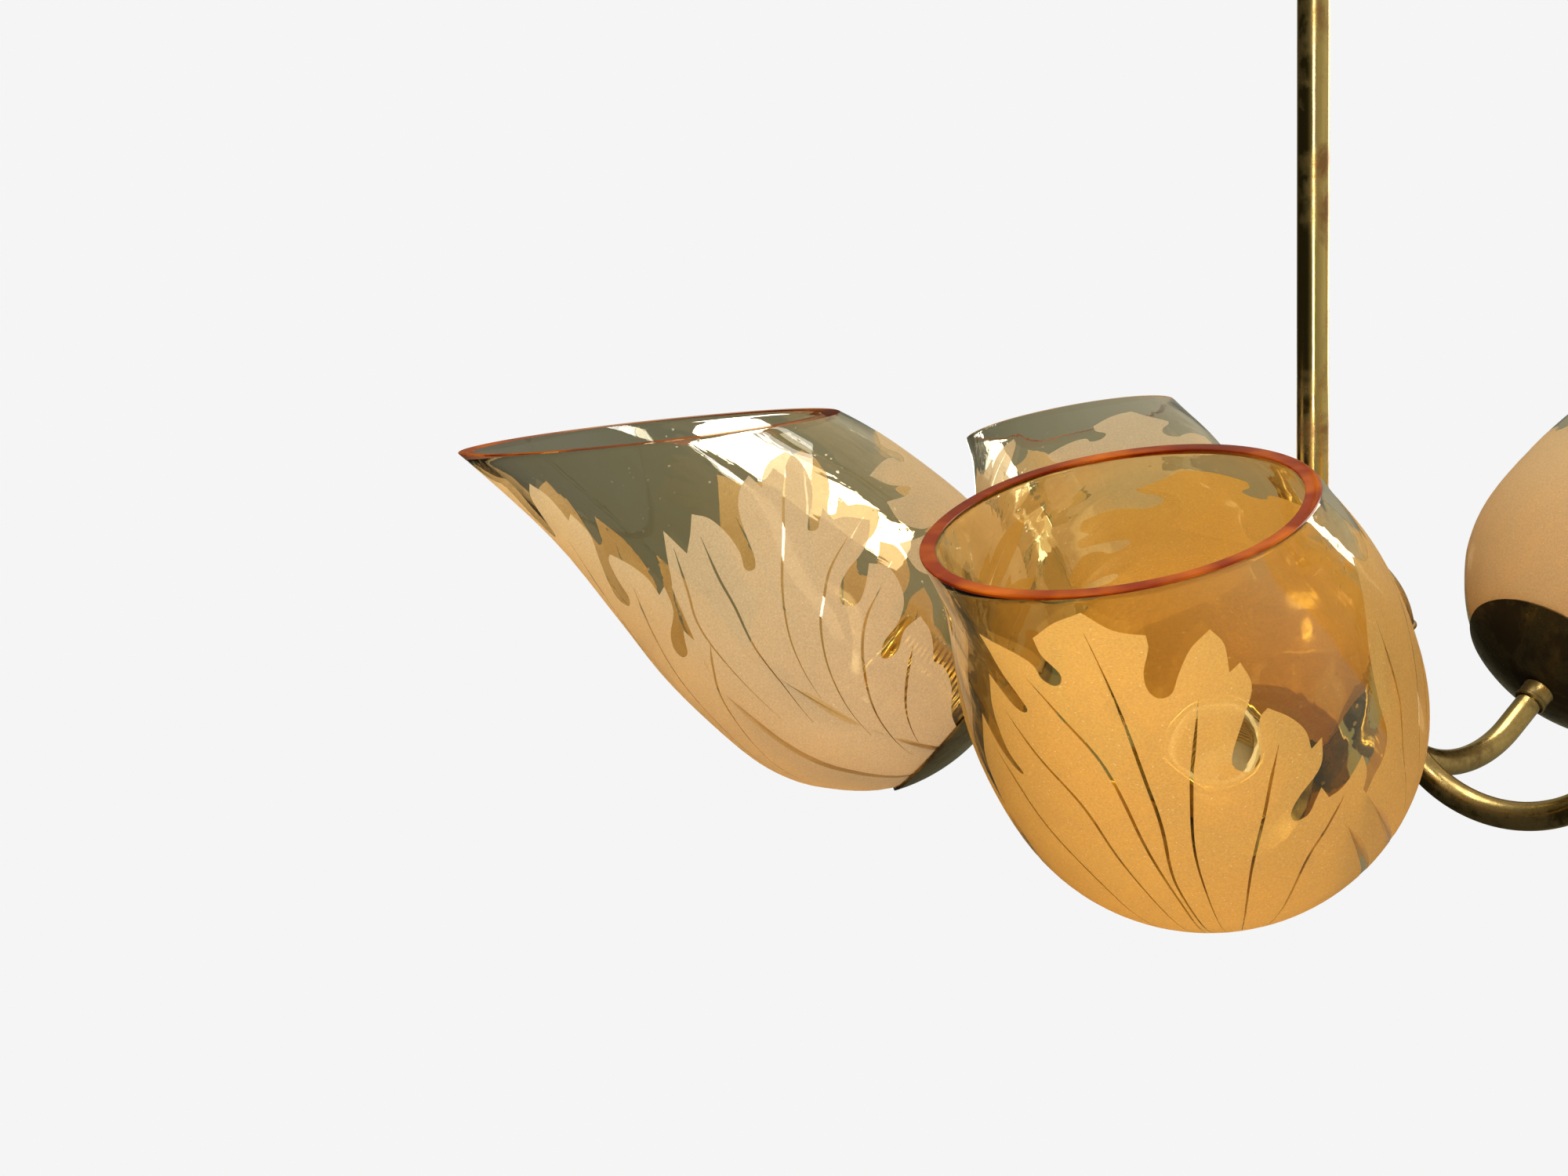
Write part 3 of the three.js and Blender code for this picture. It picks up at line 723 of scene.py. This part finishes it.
# Veins, from near a lobe's tip down to the foot.
FRONT_VEINS = [
    [(0, 229), (0, 158), (0, 128), (-2, 96), (-1, 58), (0, 20)],
    [(-26, 198), (-19, 181), (-10, 158), (-6, 120), (-3, 76), (-2, 40), (-1, 18)],
    [(-40, 170), (-32, 156), (-20, 135), (-14, 108), (-8, 65), (-4, 26)],
    [(-49, 140), (-40, 126), (-26, 94), (-17, 58), (-9, 22)],
    [(22, 182), (15, 160), (11, 145), (6, 116), (4, 80), (3, 36)],
    [(36, 146), (28, 129), (18, 100), (10, 60), (5, 26)],
    [(45, 105), (38, 97), (29, 84), (18, 54), (8, 22)],
]
SIDE_VEINS = [
    [(124, 127), (114, 119), (104, 109), (92, 97), (82, 83), (76, 70), (71, 54)],
    [(119, 89), (106, 86), (97, 80), (90, 74), (82, 62), (75, 46), (69, 28)],
    [(112, 65), (102, 62), (94, 56), (86, 46), (79, 35), (72, 21), (66, 8)],
    [(104, 39), (94, 32), (84, 23), (74, 10)],
    [(86, 136), (80, 120), (76, 106), (70, 89), (66, 68), (62, 50)],
    [(76, 142), (68, 126), (61, 112), (57, 88), (55, 60)],
]
VEIN_WIDTH = 1.0
VEIN_TIP = 0.06             # half the width at a vein's pointed ends
LEAF_FOOT = GLASS_OUTLINE[0][1] + 1.5
FOOT_SPREAD = 8.0           # degrees that the front leaf widens by down to its foot
SIDE_START = 46.0           # bearing where a side leaf starts, behind the front leaf
SIDE_VALLEY = 88.0          # height of the side leaf there
SIDE_TURN = 0.4             # share of the front leaf's turn that the other leaves take
BACK_SHRINK = 0.46          # the back leaf is the front leaf, this much lower, with no veins
SEAM = 180.0


def joined(stretches):
    """One line through the stretches, with a corner where two of them meet."""
    line = []
    end = None
    for stretch in stretches:
        points = [Vector(p) for p in stretch]
        if end is not None:
            points.insert(0, end)
        line += smooth(points, 5)[:-1]
        end = points[-1]
    return line + [end]


def front_leaf():
    """Outline and veins of the leaf on the long side of the mouth."""
    right = joined(FRONT_RIGHT)
    left = joined(FRONT_LEFT)
    corners = [Vector((right[-1].x + FOOT_SPREAD, LEAF_FOOT)), Vector((left[-1].x - FOOT_SPREAD, LEAF_FOOT))]
    outline = right + corners + left[:0:-1]
    return outline, [[Vector(p) for p in vein] for vein in FRONT_VEINS]


def side_leaf(near_edge):
    """Outline and veins of the leaf on the right; its lower part joins the front leaf's."""
    edge = joined(SIDE_NEAR[near_edge] + SIDE_FAR)
    outline = edge + [Vector((SIDE_START, LEAF_FOOT)), Vector((SIDE_START, SIDE_VALLEY))]
    veins = SIDE_VEINS if near_edge == "lobed" else SIDE_VEINS[:-1]
    return outline, [[Vector(p) for p in vein] for vein in veins]


def leaf_shapes(number):
    """Outlines and veins of a shade's four leaves, as bearing and height."""
    turn, spread, right_edge, left_edge = LEAVES[number]
    outlines, veins = [], []

    def add(leaf, placed):
        outline, leaf_veins = leaf
        outlines.append([placed(p) for p in outline])
        veins.extend([[placed(p) for p in vein] for vein in leaf_veins])

    side_turn = turn * SIDE_TURN
    add(front_leaf(), lambda p: Vector((turn + spread * p.x, p.y)))
    add(side_leaf(right_edge), lambda p: Vector((side_turn + p.x, p.y)))
    add(side_leaf(left_edge), lambda p: Vector((side_turn - p.x, p.y)))
    back = (front_leaf()[0], [])
    add(back, lambda p: Vector((SEAM + side_turn + p.x, p.y * BACK_SHRINK)))
    add(back, lambda p: Vector((side_turn - SEAM + p.x, p.y * BACK_SHRINK)))
    return outlines, veins


def vein_outline(points):
    """Slender closed line round a vein, pointed at both ends."""
    line = smooth(points, 6)
    first, second = [], []
    for i, point in enumerate(line):
        share = i / (len(line) - 1)
        radius = GLASS.at(point.y)
        per_degree = radius * math.pi / 180
        before, after = beside(line, i)
        along = Vector(((after.x - before.x) * per_degree, after.y - before.y)).normalized()
        half = 0.5 * VEIN_WIDTH * min(1.0, 6 * share, 1.8 * (1 - share)) + VEIN_TIP
        offset = Vector((-along.y / per_degree, along.x)) * half
        first.append(point + offset)
        second.append(point - offset)
    return first + second[::-1]


class Area:
    """Closed line with its bounds, so that most points are ruled out at once."""

    def __init__(self, line):
        self.line = line
        self.low = (min(p.x for p in line), min(p.y for p in line))
        self.high = (max(p.x for p in line), max(p.y for p in line))

    def holds(self, point):
        x, y = point
        if not (self.low[0] < x < self.high[0] and self.low[1] < y < self.high[1]):
            return False
        inside = False
        before = self.line[-1]
        for here in self.line:
            if (here.y > y) != (before.y > y):
                if x < (before.x - here.x) * (y - here.y) / (before.y - here.y) + here.x:
                    inside = not inside
            before = here
        return inside


def etched_mesh(name, number):
    """Thin skin over the glass in the shape of the shade's leaves, with their veins left clear."""
    outlines, vein_lines = leaf_shapes(number)
    veins = [vein_outline(line) for line in vein_lines]
    top = max(p.y for outline in outlines for p in outline)
    seams = [[Vector((side, LEAF_FOOT - 1)), Vector((side, top + 1))] for side in (-SEAM, SEAM)]
    points, edges = [], []
    for line in outlines + veins:
        start = len(points)
        points += line
        edges += [(start + i, start + (i + 1) % len(line)) for i in range(len(line))]
    for line in seams:
        edges.append((len(points), len(points) + 1))
        points += line
    bearing_step, height_step = 3, 4
    for bearing in range(-180, 181, bearing_step):
        for height in range(int(LEAF_FOOT) + 1, int(top), height_step):
            points.append(Vector((bearing, height)))
    verts, _, faces, *_ = geometry.delaunay_2d_cdt(points, edges, [], 0, 1e-4)
    leaf_areas = [Area(line) for line in outlines]
    vein_areas = [Area(line) for line in veins]
    kept = []
    for face in faces:
        middle = sum((verts[i] for i in face), Vector((0, 0))) / len(face)
        veined = any(vein.holds(middle) for vein in vein_areas)
        if abs(middle.x) <= SEAM and not veined and any(leaf.holds(middle) for leaf in leaf_areas):
            kept.append(tuple(face))
    used = sorted({i for face in kept for i in face})
    place_of = {old: new for new, old in enumerate(used)}
    shape, normals = [], []
    for bearing, height in (verts[i] for i in used):
        angle = math.radians(bearing)
        slope = GLASS.slope(max(height, LEAF_FOOT))
        normal = Vector((math.cos(angle), math.sin(angle), -slope)).normalized()
        radius = GLASS.at(height)
        on_glass = Vector((radius * math.cos(angle), radius * math.sin(angle), height))
        shape.append(on_glass + normal * ETCH_PROUD)
        normals.append(normal)
    mesh = bpy.data.meshes.new(name)
    mesh.from_pydata([p * MM for p in shape], [], [tuple(place_of[i] for i in face) for face in kept])
    mesh.shade_smooth()
    mesh.normals_split_custom_set_from_vertices(normals)
    mesh.update()
    return mesh


def make_glass():
    wall = glass_mesh()
    for lamp in LAMPS:
        number = lamp.number
        # Each shade's painted tone, a painted light and shade.
        painted_tone = PAINTED_TONES[number]
        at = lamp.matrix @ Matrix.Rotation(math.radians(GLASS_TURNS[number]), 4, "Z")
        body = f"shade_{number}"
        mesh = wall.copy()
        amber = amber_glass(f"amber_glass_{number}", painted_tone)
        place(f"glass_{number}", mesh, amber, body, [f"glass_shade_{number}"], at)
        mesh.materials.append(rim_glass(f"rim_glass_{number}", painted_tone))
        skin = etched_mesh(f"etched_leaves_{number}", number)
        place(skin.name, skin, etched_glass(f"etched_glass_{number}", painted_tone), body, (), at)


make_glass()

# ---- cups, rings, ferrules, lampholders


def cup_mesh():
    centre = CUP_SPHERE - CUP_DEPTH
    start = -math.degrees(math.acos(6.3 / CUP_SPHERE))
    end = -math.degrees(math.acos(CUP_RIM_RADIUS / CUP_SPHERE))
    outline = shell(arc((0, centre), CUP_SPHERE, start, end, 40), CUP_WALL)
    return turned("cup", outline, 96)


def ring_mesh():
    """Dished clamp ring with a rounded, milled outer edge."""
    hole = HOLDER_RADIUS + 0.6
    outline = [(hole, -4.7), (29.2, -0.5), (30.0, 0.2), (30.2, 1.2), (29.8, 2.2), (29.0, 2.5),
               (24, 3.1), (hole + 0.6, 3.8), (hole, 3.6)]
    return turned("shade_ring", outline, 96)


def ferrule_mesh():
    """Turned sleeve with a small collar at its foot."""
    low = -CUP_DEPTH - 8.5
    outline = [(6.3, low), (7.2, low), (7.6, low + 0.5), (7.6, low + 1.6), (7.25, low + 2.0),
               (7.25, low + 7.0), (7.6, low + 7.5), (7.6, low + 8.1), (6.3, low + 8.2)]
    return turned("ferrule", outline, 64)


def holder_mesh():
    """Screw lampholder: outside thread for the clamp ring, with a plain skirt and a rolled mouth."""
    sides = 72
    rows_per_turn = 8
    thread_low, thread_high = -2.0, HOLDER_TOP - 4.0
    depth = 0.75
    rows = []
    for point in [(6.3, -11.8), (10, -11.8), (17.2, -5.8), (18.6, -4.0), (18.6, -2.6)]:
        rows.append([point] * sides)
    count = int((thread_high - thread_low) / THREAD_PITCH * rows_per_turn)
    for i in range(count + 1):
        z = thread_low + (thread_high - thread_low) * i / count
        row = []
        for j in range(sides):
            turn = (z / THREAD_PITCH - j / sides) % 1.0
            fade = min(1.0, (z - thread_low) / THREAD_PITCH, (thread_high - z) / THREAD_PITCH)
            crest = 0.5 - 0.5 * math.cos(2 * math.pi * turn)
            row.append((HOLDER_RADIUS - depth + depth * crest ** 0.8 * fade, z))
        rows.append(row)
    top = HOLDER_TOP
    mouth = [(18.9, top - 3.2), (19.4, top - 2.2), (19.4, top - 0.6), (18.9, top), (17.9, top),
             (17.4, top - 0.6), (17.2, top - 2), (17.2, 4.0), (6.3, 4.0)]
    for point in mouth:
        rows.append([point] * sides)
    mesh = skin_over("lampholder", rows)
    sharpen(mesh, 60)
    return mesh


def core_mesh():
    """Ceramic core with the lamp's screw socket and its floor."""
    top = HOLDER_TOP - 1.4
    outline = [(0, 4.4), (16.6, 4.4), (17.0, 5.0), (17.0, top - 1.2), (16.2, top - 0.2), (15.0, top),
               (14.6, top - 0.8), (14.6, 12.4), (0, 12.4)]
    return turned("socket_core", outline, 64, closed=False)


def socket_mesh():
    """Thin brass screw shell inside the core, rolled to a coarse thread."""
    rows = []
    pitch = 3.6
    low, high = 12.8, HOLDER_TOP - 5
    steps = 60
    for wall in (14.3, 13.9):
        line = []
        for i in range(steps + 1):
            z = low + (high - low) * i / steps
            line.append((wall - 0.45 + 0.45 * math.cos(2 * math.pi * z / pitch), z))
        rows += line if wall > 14 else line[::-1]
    return turned("socket_shell", rows, 48)


def contact_mesh():
    outline = [(0, 12.7), (4, 12.7), (4.2, 13.0), (4.2, 14.0), (3.0, 14.6), (0, 14.8)]
    return turned("contact", outline, 32, closed=False)


def make_lamps():
    """Each lamp's pieces, with the CAD node that each stands for, if any."""
    pieces = [
        ("brass_cup", cup_mesh(), DARK, "cup"),
        ("clamp_ring", ring_mesh(), DARK, "shade_ring"),
        ("ferrule", ferrule_mesh(), SATIN, "arm_ferrule"),
        ("holder_shell", holder_mesh(), HOLDER, "lampholder"),
        ("holder_core", core_mesh(), CERAMIC, None),
        ("holder_socket", socket_mesh(), HOLDER, None),
        ("holder_contact", contact_mesh(), HOLDER, None),
    ]
    for lamp in LAMPS:
        number = lamp.number
        for name, mesh, material, node in pieces:
            replaced = [f"{node}_{number}"] if node else ()
            place(f"{name}_{number}", mesh, material, "pendant", replaced, lamp.matrix)


make_lamps()

# ---- arms


def heading(degrees):
    return Vector((math.cos(math.radians(degrees)), 0, math.sin(math.radians(degrees))))


def arm_line(lean):
    """Centreline in the arm's own plane, with z = 0 at the cups: straight, one bend, straight."""
    drop = heading(-ARM_HUB_SLOPE)
    rise = heading(90 - lean)
    hub = Vector((ARM_HUB_REACH, 0, PLATE_LOW))
    cup = Vector((CUP_REACH, 0, 0))
    gap = cup - hub
    to_corner = (gap.x * rise.z - gap.z * rise.x) / (drop.x * rise.z - drop.z * rise.x)
    corner = hub + drop * to_corner
    bend_angle = ARM_HUB_SLOPE + 90 - lean
    cut = ARM_BEND_RADIUS * math.tan(math.radians(bend_angle / 2))
    centre = corner - drop * cut + heading(90 - ARM_HUB_SLOPE) * ARM_BEND_RADIUS
    start_angle = 270 - ARM_HUB_SLOPE
    steps = 48
    line = [hub - drop * ARM_THREAD, hub]
    for k in range(steps + 1):
        line.append(centre + heading(start_angle + bend_angle * k / steps) * ARM_BEND_RADIUS)
    line += [cup - rise * 23, cup - rise * ARM_END_DEPTH]
    return line


def make_arms():
    for lamp in LAMPS:
        number = lamp.number
        at = laid("Z", 0, 0, CUP_LEVEL, math.degrees(lamp.bearing))
        tube = swept(f"arm_{number}", arm_line(lamp.lean), ARM_RADIUS, ARM_BORE)
        place(f"arm_{number}", tube, SATIN, "pendant", [f"arm_tube_{number}"], at)


make_arms()

# ---- hub


def dome_mesh():
    """Half-round cover, spun from sheet, with a rolled bead at its edge and a turned-in hole."""
    top = math.degrees(math.acos(STEM_HOLE / DOME_RADIUS))
    edge = math.degrees(math.asin((DOME_EDGE + 2.6 - DOME_CENTRE) / DOME_RADIUS))
    outline = [(DOME_RADIUS - 1.4, DOME_EDGE)]
    outline += arc((DOME_RADIUS - 0.5, DOME_EDGE + 1.3), 1.3, -90, 70, 10)
    outline += arc((0, DOME_CENTRE), DOME_RADIUS, edge, top, 40)
    outline += arc((0, DOME_CENTRE), DOME_RADIUS - 1.2, top, edge, 40)
    return turned("dome", outline, 128)


def plate_mesh():
    outline = [(STEM_HOLE, PLATE_LOW), (PLATE_RADIUS - 0.8, PLATE_LOW), (PLATE_RADIUS, PLATE_LOW + 0.8),
               (PLATE_RADIUS, PLATE_HIGH - 0.5), (PLATE_RADIUS - 0.5, PLATE_HIGH), (STEM_HOLE, PLATE_HIGH)]
    return turned("plate", outline, 128)


def boss_mesh():
    """Raised seat round an arm, along the arm, with its origin on the plate's underside."""
    outline = [(6.3, -3.0), (8.9, -3.0), (9.5, -2.4), (9.5, 6.9), (8.9, 7.5), (6.3, 7.5)]
    return turned("boss", outline, 64)


def finial_mesh():
    top = PLATE_LOW - 0.3
    outline = [Vector((0, 5))]
    outline += smooth([(1.5, 5.1), (5.5, 6.6), (8.3, 10.6), (8.0, 14.2), (6.9, 16.2)], 8)
    outline += [Vector((7.6, 16.8)), Vector((7.6, 17.6)), Vector((7.2, 18.0))]
    outline += smooth([(7.6, 18.6), (9.6, 21.5), (13.2, 25.6), (15.6, 28.8)], 8)
    outline += [Vector((16.0, 29.4)), Vector((16.0, top)), Vector((STEM_HOLE, top)),
                Vector((STEM_HOLE, 23.8)), Vector((0, 23.8))]
    return turned("finial", [tuple(p) for p in outline], 96, closed=False)


def collar_mesh(name, low, height):
    """Short turned collar with two fine grooves."""
    outer = 10.5
    outline = [(STEM_HOLE, low), (outer - 0.6, low), (outer, low + 0.6)]
    for groove in (0.36, 0.64):
        middle = low + height * groove
        outline += [(outer, middle - 0.5), (outer - 0.4, middle), (outer, middle + 0.5)]
    outline += [(outer, low + height - 0.6), (outer - 0.6, low + height), (STEM_HOLE, low + height)]
    return turned(name, outline, 72)


def make_hub():
    at = laid("Z", 0, 0, CUP_LEVEL, 0)
    place("dome", dome_mesh(), SATIN, "pendant", ["hub_dome"], at)
    place("plate", plate_mesh(), DARK, "pendant", ["hub_plate"], at)
    place("finial", finial_mesh(), SATIN, "pendant", ["hub_finial"], at)
    top = DOME_CENTRE + DOME_RADIUS
    place("collar_on_dome", collar_mesh("collar_on_dome", top, 8), SATIN, "pendant", ["dome_collar"], at)
    boss = boss_mesh()
    seat = laid("Y", ARM_HUB_REACH, 0, PLATE_LOW, ARM_HUB_SLOPE - 90)
    for lamp in LAMPS:
        turn = Matrix.Rotation(lamp.bearing, 4, "Z")
        place(f"arm_boss_{lamp.number}", boss, DARK, "pendant", (), at @ turn @ seat)


make_hub()

# ---- stem, hanger, canopy


def laid_solid(name, outline, sides, at):
    """Turned solid, such as a screw, laid where it belongs."""
    mesh = turned(name, outline, sides, closed=False)
    mesh.transform(at)
    return mesh


def make_stem():
    low, high = CUP_LEVEL + 24, -38.3
    outline = [(STEM_BORE, low), (STEM_RADIUS, low), (STEM_RADIUS, high), (STEM_BORE, high)]
    stem = place("stem", turned("stem", outline, 96), STEM_BRASS, "pendant", ["stem_tube"])
    upper = block("slot_high", (-4, -9, -78), (4, 0, -48), 1.0)
    lower = block("slot_low", (0, -4, CUP_LEVEL + 48), (9, 4, CUP_LEVEL + 74), 1.0)
    lower.transform(laid("Z", 0, 0, 0, WIRING_SIDE))
    cut_away(stem, [upper, lower])


def make_head():
    """Block on the stem's top that turns on the hanger's pin, with the earth screw."""
    head = block("head", (-12.4, -9, -38), (12.4, 9, -14), 1.2)
    bore = laid_solid("bore", [(0, -20), (3.3, -20), (3.3, 20), (0, 20)], 32, laid("Y", 0, 0, PIN_HEIGHT))
    cut_away(place("head", head, SATIN, "pendant", ["stem_head"]), [bore])
    spigot = turned("spigot", [(0, -46), (4.95, -46), (4.95, -38.05), (0, -38.05)], 32, closed=False)
    place("spigot", spigot, SATIN, "pendant")
    outline = [(0, -5), (1.8, -5), (1.8, 0.3), (3.4, 0.3), (3.6, 0.5), (3.6, 1.9), (3.2, 2.3), (0, 2.6)]
    screw = laid_solid("screw", outline, 32, laid("X", 0, 9, -34, -90))
    earth = place("screw_earth", screw, HOLDER, "pendant", ["earth_screw"])
    cut_away(earth, [block("slot", (-5, 10.6, -34.5), (5, 13, -33.5), 0.1)])


def make_terminals():
    """Terminal block under the ceiling, with a clamp screw in each of its wells, and the hub's connector."""
    body = block("terminal", (-12, -22.3, -36), (12, -9.3, -18), 1.0)
    terminal = place("terminal", body, CERAMIC, "pendant", ["terminal_block"])
    well = [(0, -3), (2.4, -3), (2.4, 8), (0, 8)]
    screw = [(0, 0), (2.1, 0), (2.1, 1.2), (1.7, 1.6), (0, 1.6)]
    for index, x in enumerate((-6, 6)):
        cut_away(terminal, [laid_solid("well", well, 24, laid("X", x, -21.5, -22))])
        clamp = laid_solid(f"terminal_screw_{index + 1}", screw, 24, laid("X", x, -18.4, -22))
        place(clamp.name, clamp, HOLDER, "pendant")
    connector = block("connector", (9, -12, 55), (21, 12, 65), 0.8)
    connector.transform(laid("Z", 0, 0, CUP_LEVEL, WIRING_SIDE))
    place("connector", connector, CERAMIC, "pendant", ["hub_connector"])


def make_hanger():
    """Bent rod loop with flattened eyes, on its pin and nut."""
    line = [Vector((LOOP_RADIUS, 0, -21)), Vector((LOOP_RADIUS, 0, -17))]
    for k in range(37):
        angle = math.pi * k / 36
        line.append(Vector((LOOP_RADIUS * math.cos(angle), 0, LOOP_CENTRE + LOOP_RADIUS * math.sin(angle))))
    line += [Vector((-LOOP_RADIUS, 0, -17)), Vector((-LOOP_RADIUS, 0, -21))]
    place("loop", swept("loop", line, 3.0), SATIN, "hanger", ["hanger_bail"])
    outline = [(3.3, -3), (6.4, -3), (7, -2.4), (7, 2.4), (6.4, 3), (3.3, 3)]
    for index, side in enumerate((-1, 1)):
        eye = turned(f"loop_eye_{index + 1}", outline, 48)
        eye.transform(laid("Y", side * LOOP_RADIUS, 0, PIN_HEIGHT))
        place(eye.name, eye, SATIN, "hanger")
    outline = [(0, -22.3), (4.2, -22.3), (5, -21.6), (5, -19.3), (3, -19.3), (3, 25), (2.6, 25.3), (0, 25.3)]
    pin = laid_solid("pin", outline, 40, laid("Y", 0, 0, PIN_HEIGHT))
    place("pin", pin, STEEL, "hanger", ["bail_pin"])


def canopy_mesh():
    """Spun bell with a rolled rim against the ceiling."""
    low = -80.0
    bell = smooth([(14, low), (24, -77), (34, -67.5), (41, -50), (44, -30), (45.5, -8), (50, 8), (58, 22),
                   (59.6, 26)], 8)
    outline = [(STEM_HOLE, low)] + [tuple(p) for p in bell]
    rim = [(60, 27), (59.6, 28), (54.2, 28), (54, 27)]
    inner = [(max(r - 1.4, STEM_HOLE), z + 1.2) for r, z in outline[:-3]]
    return turned("bell", outline + rim + inner[::-1], 128)


def make_canopy():
    place("bell", canopy_mesh(), SATIN, "canopy", ["canopy"])
    mesh = collar_mesh("collar_on_stem", -92.3, 12)
    collar = place("collar_on_stem", mesh, SATIN, "canopy", ["canopy_collar"])
    at = laid("X", 0, 0, SCREW_HEIGHT)
    cut_away(collar, [laid_solid("bore", [(0, 6), (1.8, 6), (1.8, 16), (0, 16)], 24, at)])
    outline = [(0, 7.2), (1.5, 7.2), (1.5, 11), (2.9, 11), (3.2, 11.3), (3.2, 14.1), (2.8, 14.5), (0, 14.5)]
    screw = laid_solid("thumb_screw", outline, 32, at)
    place("thumb_screw", screw, HOLDER, "canopy", ["canopy_set_screw"])


make_stem()
make_head()
make_terminals()
make_hanger()
make_canopy()

# ---- CAD nodes that stay: nuts and wires


def finish_cad_nodes():
    finishes = {"arm_nut": STEEL, "stem_nut": STEEL, "bail_nut": STEEL, "arm_wire": FLEX, "stem_cable": FLEX}
    for name, node in frame["nodes"].items():
        for start, material in finishes.items():
            if name.startswith(start):
                node.data.materials.clear()
                node.data.materials.append(material)


finish_cad_nodes()

# ---- floor, room and lights

BACKDROP = 0.913            # how bright the plain background reads
FLOOR_DROP = 2.2            # metres from the lamps down to the floor


def make_floor():
    n = material_nodes("floor")
    where = n.place_coords()
    tone = n.noise(where, 3, detail=2)
    surface = n.add("BsdfPrincipled", {
        "Base Color": n.blend(tone, (0.012, 0.012, 0.012), (0.014, 0.014, 0.014)),
        "Roughness": 1.0,
        "Specular IOR Level": 0.0,
        "Emission Color": (1.0, 1.0, 1.0),
        "Emission Strength": BACKDROP - 0.006,
    })
    size = 14.0
    mesh = bpy.data.meshes.new("floor")
    corners = [(-size, -size, 0), (size, -size, 0), (size, size, 0), (-size, size, 0)]
    mesh.from_pydata(corners, [], [(0, 1, 2, 3)])
    mesh.materials.append(n.finish(surface.outputs[0]))
    floor = new_object("floor", mesh)
    floor.location.z = CAD_BOX[0].z - FLOOR_DROP
    floor.visible_glossy = False
    floor.visible_diffuse = False
    floor.visible_transmission = False
    floor.visible_shadow = False


def make_world():
    """White to the camera; the glass and the metal see a dim olive-grey room, lighter to the right."""
    n = Nodes(bpy.data.worlds.new("room"), "World")
    where = n.add("TexCoord").outputs["Generated"]
    lean = n.maths("ADD", n.maths("MULTIPLY", n.part(where, "X"), 1.3), n.part(where, "Z"))
    tone = n.tones(n.ramp(lean, -1.2, 1.5),
                   (0.12, (0.018, 0.017, 0.013)), (0.40, (0.19, 0.185, 0.125)), (1.0, (0.62, 0.58, 0.48)))
    room = n.add("Background", {"Color": tone}).outputs[0]
    white = n.add("Background", {"Color": (BACKDROP, BACKDROP, BACKDROP)}).outputs[0]
    to_camera = n.add("LightPath").outputs["Is Camera Ray"]
    bpy.context.scene.world = n.finish(n.mix(to_camera, room, white))


def softbox(name, azimuth, elevation, distance, size, power, colour, roll=0.0):
    """Area light that faces the lamps; the bearing is seen from them, 0 towards the camera's side (-Y)."""
    data = bpy.data.lights.new(name, "AREA")
    data.shape = "RECTANGLE"
    data.size, data.size_y = size
    data.energy = power
    data.color = colour
    light = new_object(name, data)
    a, e = math.radians(azimuth), math.radians(elevation)
    away = Vector((math.sin(a) * math.cos(e), -math.cos(a) * math.cos(e), math.sin(e)))
    target = Vector((0, 0, CUP_LEVEL * MM))
    light.location = target + away * distance
    turn = away.to_track_quat("Z", "Y") @ Quaternion((0, 0, 1), math.radians(roll))
    light.rotation_euler = turn.to_euler()
    light.visible_camera = False
    return light


make_floor()
make_world()
softbox("strip", -4, 22, 2.4, (0.26, 2.4), 34, (1.0, 0.97, 0.88))
fill = softbox("fill", -50, 12, 3.0, (1.8, 1.8), 36, (1.0, 0.98, 0.95))
below = softbox("below", 24, -44, 3.0, (2.4, 2.4), 98, (1.0, 0.97, 0.93))
softbox("side", 138, 10, 2.6, (1.0, 2.2), 34, (1.0, 0.86, 0.66)).visible_transmission = False
back = softbox("back", 172, 40, 3.0, (2.0, 1.2), 46, (1.0, 0.99, 0.96))
for light in (fill, below, back):
    light.visible_glossy = False
    light.visible_transmission = False
softbox("window", 190.2, -0.9, 2.53, (0.42, 0.13), 0.5, (1.0, 1.0, 0.96), 33)
softbox("overhead", 0, 86, 2.2, (1.2, 1.2), 30, (1.0, 0.97, 0.90))

scene = bpy.context.scene
scene.view_settings.view_transform = "Standard"
